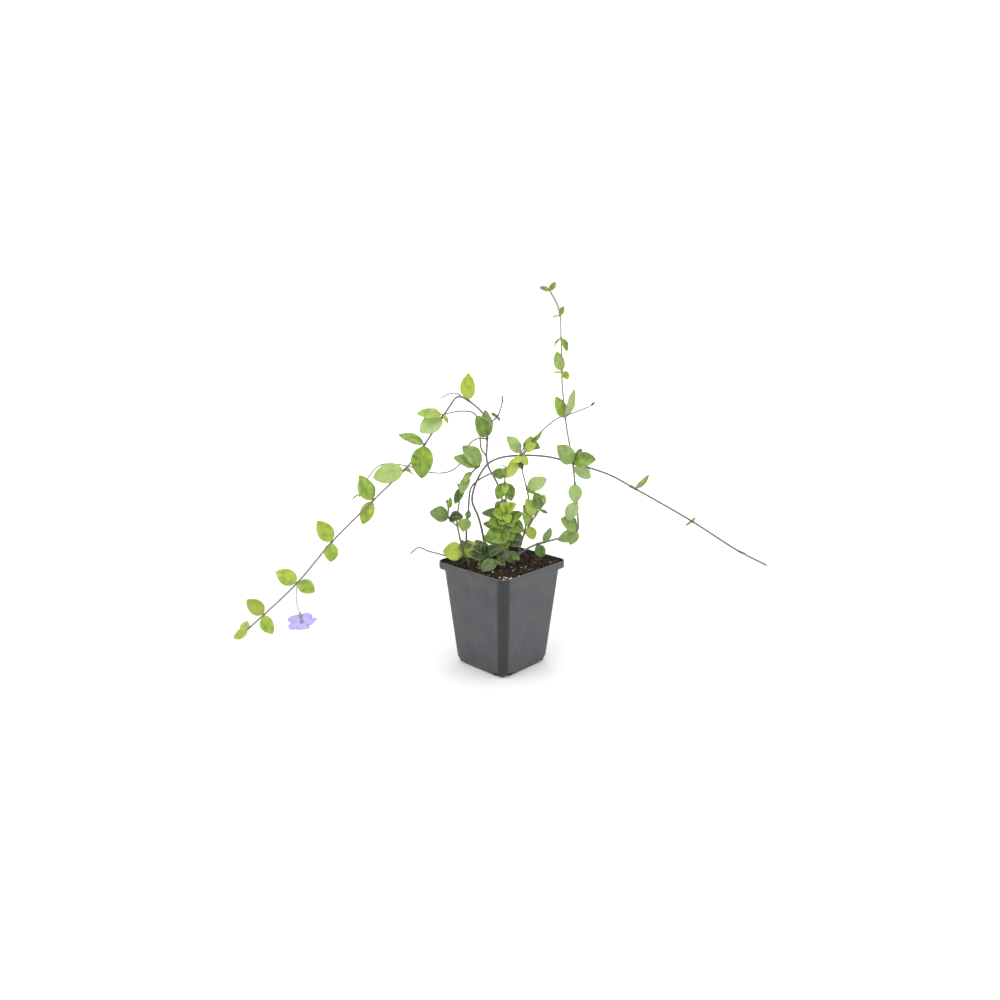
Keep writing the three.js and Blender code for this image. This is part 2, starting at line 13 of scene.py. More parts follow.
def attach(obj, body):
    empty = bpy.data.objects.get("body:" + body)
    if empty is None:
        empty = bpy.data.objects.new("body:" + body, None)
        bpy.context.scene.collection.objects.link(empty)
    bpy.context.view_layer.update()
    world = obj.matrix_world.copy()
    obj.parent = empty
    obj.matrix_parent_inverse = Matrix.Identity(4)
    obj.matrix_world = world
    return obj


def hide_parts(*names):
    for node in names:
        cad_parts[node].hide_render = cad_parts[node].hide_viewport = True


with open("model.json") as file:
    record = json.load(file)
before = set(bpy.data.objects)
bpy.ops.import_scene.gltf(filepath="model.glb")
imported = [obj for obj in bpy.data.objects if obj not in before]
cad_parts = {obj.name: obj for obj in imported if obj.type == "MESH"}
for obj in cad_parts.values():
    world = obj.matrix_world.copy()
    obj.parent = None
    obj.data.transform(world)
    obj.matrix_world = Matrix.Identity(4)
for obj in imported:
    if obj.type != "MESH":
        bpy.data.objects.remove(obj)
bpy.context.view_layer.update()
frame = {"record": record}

MM = 0.001

# The plant is described from its front: x to the right, y away, z up. The pot's sides stand
# square to X and Y, so everything of the plant is turned by this angle about Z.
FRONT_VIEW = 43.5
TO_POT = Matrix.Rotation(math.radians(FRONT_VIEW), 3, "Z")

# The photographed view
CAMERA_DISTANCE = 800
CAMERA_ELEVATION = 12.3
CAMERA_TARGET = Vector((-1.8, 0, 182))
PHOTO_SIZE = 1000
FOCAL_PIXELS = 824
AXIS_ROW = 485
SENSOR = 36

# Studio
LAMP_DISTANCE = 1600
LAMP_TARGET = Vector((0, 0, 150))
TABLE_HALF = 20000
TABLE_DROP = 0.05
GLOW_FROM = 150
GLOW_FULL = 1000
GLOW_STRENGTH = 1.1
ROOM_BRIGHT = 1.02
ROOM_DIM = 0.5

# Pot
POT_HEIGHT = 105.8
RIM_HALF = 46.6
RIM_CORNER = 9.5
RIM_BAND = 7
RIM_BOTTOM = POT_HEIGHT - RIM_BAND
BODY_TOP_HALF = 43.1
BODY_TOP_CORNER = 10
BODY_LOW_HALF = 33.9
BODY_LOW_CORNER = 8
BASE_HALF = 31.6
BASE_CORNER = 7.5
BASE_CHAMFER = 6
WALL = 1.2
FLOOR = 1.6
LEDGE = RIM_BOTTOM + WALL
NOTCH_WIDTH = 7
NOTCH_HEIGHT = 3.7
NOTCH_TOOTH = 2.6
NOTCH_FROM = 36
CHANNEL_WIDTH = 6
CHANNEL_DEPTH = 0.7
PAD_RADIUS = 9
DRAIN_RADIUS = 4
DRAIN_FROM_MIDDLE = 21
DRAIN_SIDES = 32
POT_CORNER_STEPS = 12
POT_SIDE_STEPS = 6
WALL_BANDS = 8
WALL_BOW = 0.5
GLOSS_AND_SHADE_STEPS = 1.5
SHARP_ANGLE = 35
DUST_BAND = 9
RIM_HIGHLIGHT_BAND = 1

# Soil. Each layer of clods has its fineness, in waves to the millimetre, and its rise.
SOIL_TOP = 101.9
SOIL_LUMP = 1.1
SOIL_CLODS = ((0.22, 1.1), (0.55, 0.7), (1.3, 0.35))
SOIL_GAP = 0.15
SOIL_BROWN = 0.12
SOIL_CORNER_STEPS = 6
SOIL_SIDE_STEPS = 26
SOIL_RING_COUNT = 44
SOIL_SEED = 11
CRUMB_COUNT = 1500
CRUMB_LEAST = 0.35
CRUMB_RANGE = 1.1
CRUMB_MARGIN = 1.6
CRUMB_LIFT = 0.3
CHIP_COUNT = 110
CHIP_HALF = 0.35
GRAIN_MARGIN = 3
FIBRE_COUNT = 70
FIBRE_MARGIN = 6
FIBRE_RADIUS = 0.14
FIBRE_STEP = 0.8
FIBRE_SIDES = 5
FIBRE_LIFT = 0.25
FIBRE_ARCH = 0.5
CRUMB_SEED = 21
LONGEST_BALL_EDGE = 1.1
PERLITE_COUNT = 44
PERLITE_SEED = 33
FRONT_GRAINS = 8
FRONT_MARGIN = 6
FRONT_SPREAD = 9

# Stems
STEM_SIDES = 10
STEM_STEP = 2.5
STEM_FULLNESS = 1.15
STEM_UNEVEN = 0.08
STEM_END = 0.6
NODE_SWELL = 0.45
NODE_REACH = 1.6
NODE_DARKEST = 0.8
PLANT_SEED = 100

# Leaves. The two powers shape the blade's outline towards its root and its tip.
LEAF_STEPS = 24
LEAF_HALF_STEPS = 6
LEAF_WIDTH = 0.55
LEAF_ROOT_POWER = 0.6
LEAF_TIP_POWER = 0.8
LEAF_FOLD = 0.22
FOLD_ROUNDING = 0.01
LEAF_ARCH = 0.07
LEAF_CURL = 0.12
LEAF_SET_IN = 0.25
LEAF_WAVE = 0.02
LEAF_LEAN = 0.05
LEAF_FACING = Vector((0, -0.8, 0.6))
RIB_RISE = 0.35
RIB_HALF = 0.5
VEIN_PAIRS = 9
VEIN_SWEEP = 0.5
PETIOLE_SHARE = 0.05
PETIOLE_HALF = 0.5
PETIOLE_TAPER = 0.7
BLADE_THICKNESS = 0.45
PETIOLE_THICKNESS = 0.9
TONE_SPREAD = 0.05
ROOT_TONE = 0.06

# Flower
FLOWERING = "runner_left"
FLOWER_CENTRE = Vector((-186, -60, 63.5))
FLOWER_FACING = Vector((0.05, 0.24, -0.97)).normalized()
FLOWER_SEED = 5
LOBES = 5
LOBE_LENGTH = 12.4
LOBE_WIDTH = 11.8
LOBE_FROM = 0.08
LOBE_SLANT = 0.22
LOBE_CLOSING = 0.24
LOBE_CROWN = 0.8
LOBE_RIPPLE = 0.45
LOBE_SWEEP = 1.7
LOBE_TROUGH = 0.5
LOBE_THICKNESS = 0.35
LOBE_STEPS = 22
LOBE_HALF_STEPS = 8
TUBE_LENGTH = 8.5
TUBE_RADIUS = 0.8
MOUTH_RADIUS = 2.3
TUBE_END = 0.4
TUBE_LOOK = (0.15, 1, 0)
TUBE_STEP = 0.5
TUBE_SIDES = 20
LOBE_ROOT = 1
CALYX_LENGTH = 3.6
CALYX_ROOT_RADIUS = 0.6
CALYX_MOUTH_RADIUS = 1.5
CALYX_GAP = 0.35
CALYX_LOOK = (0.6, 0, 0.3)
CALYX_STEP = 0.4
SEPALS = 5
SEPAL_LENGTH = 4.5
SEPAL_WIDTH = 1.3
SEPAL_THICKNESS = 0.3
SEPAL_TIP_HALF = 0.03
SEPAL_RISE = 0.5
SEPAL_SPREAD = 38
SEPAL_STEPS = 8
SEPAL_HALF_STEPS = 2


class Stem(NamedTuple):
    """A stem: its thickness and how woody it is, both at its root and tip, the tone of its leaves,
    the points it passes, the leaves, and how far it is a smooth, pale flower stalk. A leaf has its
    distance along the stem, length, aim, tilt and, where they aren't the usual ones, turn, width,
    tone and how far its pale side shows. Tones run from 0, old and dark, to 1."""

    thick: tuple
    woody: tuple
    tone: float
    route: list
    leaves: list = []
    stalk: float = 0


# The stems of each node. Those that stand in the pot start at this height, in the peat.
ROOT_HEIGHT = 90
PLANT = {
    "runner_left": [
        Stem((2, 1.4), (0.7, 0.45), 0.8, [
            (6, 4, ROOT_HEIGHT), (6, 4, 102), (5, 4, 125), (-2, 1, 177), (-14, -2, 204), (-14, -5, 227),
            (-14, -6, 246), (-25, -8, 260), (-41, -11, 269), (-49, -14, 260), (-61, -19, 242),
            (-84, -26, 210), (-120, -38, 175), (-157, -49, 139), (-189, -57, 102), (-220, -63, 73),
            (-235, -66, 60),
        ], [
            (143, 25, 115, 15, 0, 0.68, 0.45), (143, 27, 95, -15, 40, 0.55, 0.3, 0.4),
            (186, 26, 90, 0, 0, 0.55, 0.9), (221, 26, 213, 10, 0, 0.75, 0.75, 1),
            (252, 26, 160, 0, 25, 0.55, 0.6), (252, 32, 265, 10, 0, 0.66, 0.62),
            (282, 31, 195, 0, -15, 0.62, 0.75, 0.6), (282, 19, 305, -60, 0, 0.55, 0.6),
            (323, 27, 117, 0, 30, 0.6, 0.6), (323, 24, 128, -20, 0, 0.65, 0.8, 0.3), (323, 25, 245, 0),
            (377, 24, 120, 0, 0, 0.63), (377, 19, 265, 0, 0, 0.72), (426, 22, 150, 0, 0, 0.7),
            (426, 18, 330, 0, 0, 0.75), (469, 21, 135, 0, 0, 0.65, 0.95), (469, 20, 290, 0, 0, 0.62),
            (487, 18, 195, -45), (488, 17, 215, 0, 0, 0.55, 0.85),
        ]),
        Stem((1.6, 1.2), (0.6, 0.5), 0.75, [
            (-15, -3, 211), (-20, 1, 218), (-21, 2, 230), (-22, 1, 242), (-26, -3, 252), (-34, -8, 255),
            (-45, -15, 255), (-56, -20, 253),
        ], [
            (79, 10, 300, 20, 0, 0.4), (80, 24, 178, 5, 20, 0.62, 0.75),
        ]),
        Stem((1.2, 1), (0.6, 0.5), 0.5, [
            (-34, -9, 266), (-43, -9, 272), (-50, -9, 271), (-58, -9, 267),
        ]),
        Stem((1.4, 1.2), (0.7, 0.6), 0.35, [
            (-14, -6, 242), (-9, -5, 245), (-4, -4, 250), (0, -3, 261), (1, -3, 267),
        ], [
            (12, 7, 145, 0), (12, 5, 305, 20), (29, 5, 95, 0, 0, 0.4, 0.6),
        ]),
        Stem((1.4, 1.2), (0.5, 0.3), 0.6, [
            (-14, -5, 228), (-23, -3, 228), (-31, 2, 222), (-39, 3, 204), (-50, -2, 196),
            (-67, -9, 196), (-93, -13, 204), (-114, -15, 205), (-126, -17, 194), (-136, -20, 174),
        ], [
            (158, 11, 220, 0, 40, 0.35),
        ]),
        Stem((1.1, 1), (0.3, 0.3), 0.6, [
            (-189, -57, 102), (-190, -60, 88), (-187, -64, 74.5),
        ], stalk=0.9),
    ],
    "runner_right": [
        Stem((2, 1.7), (0.8, 0.65), 0.4, [
            (-17, 4, ROOT_HEIGHT), (-17, 4, 102), (-18, 4, 126), (-23, 3, 149), (-29, 2, 166),
            (-25, 2, 184), (-14, 2, 202), (-4, 6, 207), (14, 11, 209), (44, 11, 208), (69, 9, 202),
            (105, 12, 190), (130, 16, 176), (191, 24, 140), (243, 31, 106), (275, 35, 89),
        ], [
            (205, 25, 131, 10, 0, 0.75, 0.55, 0.3), (205, 23, 12, 15, -10, 0.8, 0.5),
            (206, 18, 60, -30, 0, 0.4, 0.3), (274, 20, 50, 10, 50, 0.36, 0.5, 0.4),
            (274, 9, 155, -40, 0, 0.4), (344, 8, 220, 0, 30, 0.4, 0.4, 0.5),
            (344, 8, 25, -50, 20, 0.4, 0.4, 0.5), (408, 6, 350, 20, 30, 0.4, 0.4, 0.4),
        ]),
    ],
    "runner_up": [
        Stem((2, 1.2), (0.6, 0.25), 0.45, [
            (11, -2, ROOT_HEIGHT), (11, -2, 101), (12, -1, 107), (20, 1, 114), (33, 5, 120),
            (51, 9, 124), (66, 11, 128), (75, 11, 134), (75, 12, 153), (72, 14, 182), (70, 15, 200),
            (63, 15, 237), (58, 12, 278), (56, 8, 320), (53, 3, 349), (44, -2, 366),
        ], [
            (46, 15, 290, 20, 0, 0.75, 0.35), (52, 17, 65, 0, 30, 0.5, 0.4, 0.4),
            (86, 20, 203, 15, -20, 0.62, 0.5, 0.4), (88, 17, 240, 30, 0, 0.6, 0.45, 0.3),
            (90, 21, 148, 10, 10, 0.85, 0.5, 0.2), (117, 21, 243, 15, 0, 0.62, 0.5, 0.8),
            (136, 20, 270, 10, 0, 0.7, 0.5, 0.75), (152, 21, 328, -5, -10, 0.85, 0.5, 0.8),
            (201, 24, 115, 5, 10, 0.55, 0.65), (201, 30, 75, 0, 55, 0.4, 0.4, 0.8),
            (246, 8, 180, 0, 30, 0.4), (247, 20, 105, 0, 0, 0.55, 0.7, 0.3),
            (247, 10, 310, 20, 0, 0.8, 0.7), (279, 14, 295, 0, 0, 0.45, 0.6),
            (279, 10, 230, 0, 40, 0.4), (300, 9, 200, -10, 40, 0.4), (300, 9, 70, 10, 0, 0.55, 0.6),
            (326, 10, 165, 10, 0, 0.55, 0.6), (326, 9, 55, 0, 0, 0.6, 0.6),
        ]),
    ],
    "runner_back": [
        Stem((1.9, 1.2), (0.8, 0.55), 0.6, [
            (-33, 9, ROOT_HEIGHT), (-33, 9, 102), (-35, 8, 119), (-35, 8, 138), (-33, 7, 155),
            (-30, 7, 178), (-22, 7, 186), (-10, 8, 192), (3, 8, 197), (12, 7, 201), (19, 6, 210),
            (28, 6, 223), (53, 6, 246), (67, 6, 251), (85, 6, 258),
        ], [
            (57, 9, 75, 10, 0, 0.7, 0.3, 0.3), (57, 15, 250, 35, 0, 0.9, 0.7, 0.4),
            (130, 6, 160, 0, 40, 0.4, 0.35), (134, 13, 245, 10, 0, 0.6, 0.85),
            (148, 19, 245, -5, 0, 0.55, 1, 0.3), (149, 11, 280, -5, 20, 0.55, 0.9),
            (158, 13, 35, 30, 0, 0.7, 0.95), (237, 6, 40, 0, 0, 0.4, 0.3),
        ]),
    ],
    "shoot_middle": [
        Stem((1.8, 1.2), (0.75, 0.4), 0.6, [
            (17, 9, ROOT_HEIGHT), (17, 9, 102), (18, 9, 116), (22, 7, 131), (26, 4, 156), (26, 3, 169),
            (24, 2, 179), (19, 1, 199), (17, 0, 211), (24, -1, 222),
        ], [
            (89, 10, 335, 20, 0, 0.55, 0.7), (90, 22, 25, 0, 0, 0.68, 0.7, 0.85),
            (121, 12, 250, 15, 0, 0.6, 0.9), (126, 21, 128, 0, 20, 0.72, 0.55, 0.6),
            (131, 15, 55, -15, 20, 0.5, 0.25), (136, 14, 350, 20, 0, 0.75, 0.4),
            (137, 19, 40, 0, 40, 0.28, 0.6),
        ]),
        Stem((1.6, 1.2), (0.6, 0.35), 0.5, [
            (22, 7, 130), (27, 4, 140), (35, 1, 154), (43, -1, 166),
        ], [
            (10, 25, 102, 10, 30, 0.5, 0.65, 0.2), (11, 14, 290, 15, 0, 0.8, 0.85),
            (24, 21, 118, 10, 0, 0.62, 0.75, 0.1), (32, 19, 105, 10, 0, 0.72, 0.5),
            (32, 9, 335, 0, 40, 0.4), (41, 9, 105, 0, 20, 0.6, 0.85, 0.5),
        ]),
    ],
    "shoot_left": [
        Stem((1.8, 1.2), (0.8, 0.5), 0.3, [
            (-39, 3, ROOT_HEIGHT), (-39, 3, 114), (-42, 2, 131), (-44, 0, 144), (-43, -2, 155),
            (-40, -5, 172), (-35, -7, 186), (-29, -8, 196), (-21, -8, 202),
        ], [
            (88, 10, 120, -10, 40, 0.4), (94, 19, 243, 10, 10, 0.5, 0.25),
            (98, 12, 255, 30, 0, 0.5, 0.4), (106, 19, 246, 15, 0, 0.5, 0.5, 0.4),
            (112, 17, 232, 10, 20, 0.45, 0.45, 0.5), (121, 26, 130, 0, 10, 0.66, 0.45, 0.3),
            (121, 27, 160, 5, 10, 0.56, 0.45, 0.35), (121, 21, 115, -15, 30, 0.45, 0.5, 0.5),
            (121, 14, 180, 25, 0, 0.4),
        ]),
        Stem((1.4, 1.2), (0.6, 0.4), 0.3, [
            (-43, 1, 139), (-48, -1, 145), (-52, -3, 150), (-52, -4, 159), (-53, -4, 166),
        ], [
            (14, 20, 160, 5, 0, 0.82, 0.35, 0.25), (14, 22, 20, 45, 10, 0.56, 0.12),
            (24, 12, 80, 0, 20, 0.42, 0.6), (29, 5, 100, 0),
        ]),
    ],
    "shoot_low_left": [
        Stem((1.7, 1.2), (0.6, 0.4), 0.8, [
            (-33, -3, ROOT_HEIGHT), (-33, -4, 105), (-38, -6, 115), (-40, -7, 122),
        ], [
            (22, 19, 60, 10, 0, 0.92, 0.85), (26, 20.5, 172, 10, 0, 0.95, 0.95),
            (29, 11, 90, -15, 0, 0.6, 0.3), (33, 13, 25, 0, 0, 0.6, 0.2),
        ]),
        Stem((1.4, 1.2), (0.6, 0.5), 0.5, [
            (-37, -6, 112), (-49, -8, 111), (-60, -10, 115), (-72, -12, 119), (-81, -14, 123),
            (-89, -16, 117),
        ]),
    ],
    "shoot_front": [
        Stem((1.7, 1.2), (0.7, 0.5), 0.15, [
            (-16, -14, ROOT_HEIGHT), (-16, -14, 105), (-15, -17, 115), (-18, -19, 123),
        ], [
            (22, 13, 225, 35, 0, 0.7, 0.2), (25, 18, 165, 5, 0, 0.65), (27, 20, 30, 15),
            (31, 14, 150, 15, 0, 0.6), (30, 15, 95, 25, 0, 0.6), (34, 12, 135, -20, 0, 0.6),
        ]),
        Stem((1.5, 1.2), (0.6, 0.5), 0.22, [
            (-15, -16, 111), (-10, -19, 111), (-5, -21, 113),
        ], [
            (11, 19, 212, 29, 0, 0.65, 0.14, 0.15), (12, 16, 35, 10, 0, 0.6), (12, 11, 335, 30, 0, 0.6),
        ]),
    ],
    "crown_bunch": [
        Stem((2, 1.2), (0.6, 0.2), 0.75, [
            (1, -6, ROOT_HEIGHT), (1, -6, 102), (3, -6, 120), (5, -7, 145), (4, -8, 169), (3, -9, 185),
            (3, -12, 194), (9, -14, 203), (17, -14, 209), (22, -14, 217), (24, -14, 223),
        ], [
            (24, 17, 345, 20, 0, 0.5, 0.55), (27, 15, 305, 45, 0, 0.6, 0.3),
            (36, 16, 200, 20, 0, 0.6, 0.25), (38, 17, 350, 10, 0, 0.6, 0.2),
            (40, 15, 245, 50, 0, 0.7, 0.5), (44, 16, 30, -55, 0, 0.6, 0.3),
            (46, 24, 187, 30, 0, 0.85, 0.5), (47, 18, 335, 0, 0, 0.6, 0.2),
            (50, 16, 300, 50, 0, 0.65, 0.45), (51, 17, 262, 45, 30, 0.55, 0.65),
            (52, 16, 60, -50, 0, 0.6, 0.4), (56, 19, 338, 25, 0, 0.8, 0.5),
            (57, 20, 176, 20, 0, 0.75, 0.5), (59, 18, 28, 15, 0, 0.65, 0.55),
            (60, 13, 320, 55, 0, 0.7, 0.6), (61, 15, 10, -50, 0, 0.6, 0.4),
            (62, 14, 215, 50, 0, 0.7, 0.7), (64, 16, 165, 25, 0, 0.8, 0.7),
            (63, 25, 172, 5, 0, 0.45, 0.3), (66, 13, 280, 55, 0, 0.7, 0.8),
            (68, 14, 125, 35, 0, 0.7, 0.95), (68, 15, 45, 30, 0, 0.7, 0.9), (70, 13, 85, 40, 0, 0.7, 1),
            (96, 12, 268, 45, 0, 0.6, 0.75), (97, 18, 245, 15, 0, 0.66, 0.5),
            (97, 19, 290, 15, 0, 0.66, 0.45), (104, 13, 160, 10, 0, 0.9, 0.35),
            (105, 9, 165, -10, 0, 0.45, 0.7), (112, 15, 60, 10, 20, 0.4, 0.9),
            (115, 12, 215, 15, 0, 0.6, 0.65), (119, 12, 262, 30, 0, 0.6, 0.85),
            (123, 18, 235, 20, 0, 0.5, 0.95, 0.2), (124, 9, 300, 10, 0, 0.55, 0.3),
            (130, 12, 205, 25, 0, 0.6, 1), (132, 11, 290, 25, 0, 0.6, 0.9),
            (136, 13, 40, 15, 0, 0.7, 0.95), (141, 9, 70, -10, 0, 0.55, 0.8),
        ]),
    ],
    "shoot_back": [
        Stem((1.8, 1.2), (0.7, 0.4), 0.35, [
            (-4, 24, ROOT_HEIGHT), (-4, 24, 102), (-5, 27, 118), (-3, 30, 134), (-5, 29, 150),
        ], [
            (26, 18, 20, -30, 0, 0.6), (26, 18, 165, -35, 0, 0.6), (42, 19, 60, -60, 0, 0.6),
            (44, 17, 170, 15), (59, 16, 60, 10), (59, 12, 85, -35),
        ]),
        Stem((1.5, 1.2), (0.6, 0.4), 0.4, [
            (-5, 27, 116), (4, 33, 124), (12, 37, 128),
        ], [
            (10, 15, 50, -40), (17, 16, 350, -30, 0, 0.6), (17, 14, 130, -50, 0, 0.6),
        ]),
    ],
}
FOLIAGE_SLOTS = {part["node"]: part["material_slot"] for part in frame["record"]["subparts"]}


def srgb(red, green, blue):
    """A colour picked as 0 to 255 on screen, as the linear colour that a shader takes."""
    channels = []
    for value in (red, green, blue):
        share = value / 255
        channels.append(share / 12.92 if share <= 0.04045 else ((share + 0.055) / 1.055) ** 2.4)
    return (*channels, 1)


def mix(start, end, share):
    return start + (end - start) * share


def clamp(value):
    return min(1, max(0, value))


def ease(low, high, value):
    """0 below low, 1 above high and a smooth step between them."""
    share = clamp((value - low) / (high - low))
    return share * share * (3 - 2 * share)


class Surface:
    """Vertices, faces and per-vertex looks, gathered piece by piece into one mesh."""

    def __init__(self):
        self.points = []
        self.faces = []
        self.looks = []
        self.spots = []

    def add_point(self, point, look=(0, 0, 0), spot=(0, 0)):
        self.points.append(point)
        self.looks.append((*look, 1))
        self.spots.append(spot)
        return len(self.points) - 1

    def add_rings(self, rings, caps=True):
        """Joins rings of point numbers, each with the same count, into a skin."""
        for ring, after in zip(rings, rings[1:]):
            for side in range(len(ring)):
                turn = (side + 1) % len(ring)
                self.faces.append((ring[side], ring[turn], after[turn], after[side]))
        if caps:
            self.faces.append(tuple(reversed(rings[0])))
            self.faces.append(tuple(rings[-1]))

    def make(self, name, material, place=Matrix.Identity(3), smooth=True):
        """The mesh object, in metres, in the pot's frame."""
        mesh = bpy.data.meshes.new(name)
        mesh.from_pydata([MM * (place @ point) for point in self.points], [], self.faces)
        looks = mesh.attributes.new("look", "FLOAT_COLOR", "POINT")
        looks.data.foreach_set("color", [value for look in self.looks for value in look])
        layer = mesh.uv_layers.new(name="spot")
        for loop in mesh.loops:
            layer.data[loop.index].uv = self.spots[loop.vertex_index]
        for polygon in mesh.polygons:
            polygon.use_smooth = smooth
        mesh.materials.append(material)
        mesh.update()
        piece = bpy.data.objects.new(name, mesh)
        bpy.context.scene.collection.objects.link(piece)
        return piece


def place_piece(piece, slot, *nodes):
    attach(piece, "root")
    if nodes:
        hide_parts(*nodes)


class Nodes:
    """A short way to write the node tree of a material, or of the room around it."""

    def __init__(self, name, kind="materials", shader="Principled BSDF"):
        self.owner = getattr(bpy.data, kind).new(name)
        self.owner.use_nodes = True
        self.tree = self.owner.node_tree
        self.shader = self.tree.nodes[shader]

    def add(self, kind, inputs=None, **settings):
        node = self.tree.nodes.new(kind)
        for name, value in settings.items():
            setattr(node, name, value)
        self.feed(node, inputs or {})
        return node

    def feed(self, node, inputs):
        """Sets each input, or links it where the value is another node's output."""
        for name, value in inputs.items():
            if isinstance(value, bpy.types.NodeSocket):
                self.tree.links.new(value, node.inputs[name])
            else:
                node.inputs[name].default_value = value

    def math(self, operation, first, second=0.0, limited=False):
        inputs = {0: first, 1: second}
        return self.add("ShaderNodeMath", inputs, operation=operation, use_clamp=limited).outputs[0]

    def plus(self, first, second, limited=False):
        return self.math("ADD", first, second, limited)

    def minus(self, first, second):
        return self.math("SUBTRACT", first, second)

    def times(self, first, second):
        return self.math("MULTIPLY", first, second)

    def between(self, value, low, high, start=0.0, end=1.0):
        """Maps low to high smoothly onto start to end."""
        inputs = {"Value": value, "From Min": low, "From Max": high, "To Min": start, "To Max": end}
        node = self.add("ShaderNodeMapRange", inputs, interpolation_type="SMOOTHSTEP")
        return node.outputs["Result"]

    def blend(self, share, first, second):
        inputs = {0: share, 6: first, 7: second}
        return self.add("ShaderNodeMix", inputs, data_type="RGBA").outputs[2]

    def ramp(self, value, stops):
        """Each stop has its place and its colour on screen."""
        node = self.add("ShaderNodeValToRGB", {"Fac": value})
        elements = node.color_ramp.elements
        while len(elements) < len(stops):
            elements.new(0.5)
        for element, (place, *colour) in zip(elements, stops):
            element.position = place
            element.color = srgb(*colour)
        return node.outputs["Color"]

    def place(self, stretch=(1, 1, 1)):
        """Object coordinates, stretched."""
        coordinates = self.add("ShaderNodeTexCoord").outputs["Object"]
        return self.add("ShaderNodeMapping", {"Vector": coordinates, "Scale": stretch}).outputs[0]

    def spot(self):
        """How far along a blade a point is, and how far aside, from -0.5 to 0.5 at its edges."""
        spot = self.add("ShaderNodeUVMap").outputs[0]
        split = self.add("ShaderNodeSeparateXYZ", {"Vector": spot})
        return split.outputs["X"], self.minus(split.outputs["Y"], 0.5)

    def speckle(self, vector, scale, detail, roughness=0.55):
        inputs = {"Vector": vector, "Scale": scale, "Detail": detail, "Roughness": roughness}
        return self.add("ShaderNodeTexNoise", inputs).outputs["Fac"]

    def looks(self):
        """The three values that each vertex carries."""
        colour = self.add("ShaderNodeAttribute", attribute_name="look").outputs["Color"]
        split = self.add("ShaderNodeSeparateColor", {"Color": colour})
        return split.outputs["Red"], split.outputs["Green"], split.outputs["Blue"]

    def bump(self, height, distance, strength):
        inputs = {"Height": height, "Distance": distance * MM, "Strength": strength}
        self.feed(self.shader, {"Normal": self.add("ShaderNodeBump", inputs).outputs["Normal"]})

    def shine_through(self, weight, radius, scale):
        """Lets light into a thin blade, to a depth that differs by colour."""
        self.feed(self.shader, {
            "Subsurface Weight": weight,
            "Subsurface Radius": radius,
            "Subsurface Scale": scale * MM,
        })

    def finish(self, colour, roughness):
        self.feed(self.shader, {"Base Color": colour, "Roughness": roughness})
        return self.owner


def leaf_material():
    """Leathery leaves: a tone from old to young, pale beneath, with a midrib and side veins."""
    nodes = Nodes("leaf")
    tone, under, chance = nodes.looks()
    place = nodes.place()
    blotch = nodes.speckle(place, 170, 4)
    grain = nodes.speckle(place, 1400, 2)
    shift = nodes.times(nodes.minus(blotch, 0.5), 1.15)
    upper = nodes.ramp(nodes.plus(tone, shift, limited=True), [
        (0, 34, 54, 38),
        (0.25, 62, 88, 42),
        (0.5, 98, 130, 40),
        (0.75, 142, 168, 50),
        (1, 174, 190, 70),
    ])
    lower = nodes.blend(0.75, upper, srgb(186, 204, 146))
    colour = nodes.blend(under, upper, lower)

    along, offset = nodes.spot()
    aside = nodes.math("ABSOLUTE", offset)
    midrib = nodes.between(aside, 0.0, 0.035, 1.0, 0.0)
    swept = nodes.minus(along, nodes.times(aside, VEIN_SWEEP))
    phase = nodes.math("FRACT", nodes.times(swept, VEIN_PAIRS))
    ridge = nodes.math("ABSOLUTE", nodes.minus(phase, 0.5))
    veins = nodes.between(ridge, 0.0, 0.1, 1.0, 0.0)
    veins = nodes.times(veins, nodes.between(aside, 0.3, 0.48, 0.6, 0.0))
    net = nodes.math("MAXIMUM", midrib, veins)
    colour = nodes.blend(nodes.times(net, 0.4), colour, srgb(176, 192, 112))
    # Painted highlight: each blade is lightened to yellow-green along its edges, standing in for a
    # bright rim of light.
    margin = nodes.between(aside, 0.36, 0.5, 0.0, 0.38)
    colour = nodes.blend(margin, colour, srgb(176, 192, 100))
    aged = nodes.between(chance, 0.93, 1.0, 0.0, 0.5)
    colour = nodes.blend(nodes.times(aged, blotch), colour, srgb(120, 96, 52))

    gloss = nodes.plus(nodes.between(grain, 0.3, 0.7, 0.34, 0.46), nodes.times(under, 0.2))
    nodes.bump(nodes.minus(nodes.times(grain, 0.25), net), 0.16, 0.7)
    nodes.shine_through(0.25, (0.5, 1.0, 0.15), 1.2)
    return nodes.finish(colour, gloss)


def stem_material():
    """Thin runners: green where young, grey-brown where woody, dark at the leaf joints."""
    nodes = Nodes("stem")
    woody, joint, stalk = nodes.looks()
    streak = nodes.speckle(nodes.place((1, 1, 0.3)), 700, 3)
    bark = nodes.ramp(woody, [
        (0, 168, 174, 122),
        (0.35, 150, 146, 128),
        (0.65, 126, 119, 117),
        (1, 102, 92, 91),
    ])
    bark = nodes.blend(stalk, bark, srgb(206, 202, 214))
    colour = nodes.blend(nodes.times(streak, 0.3), bark, srgb(96, 84, 90))
    aged_joint = nodes.times(joint, nodes.between(woody, 0.4, 0.65, 0.25, 1.0))
    colour = nodes.blend(aged_joint, colour, srgb(56, 44, 40))
    nodes.bump(streak, 0.12, 0.6)
    return nodes.finish(colour, nodes.between(streak, 0.3, 0.7, 0.45, 0.65))


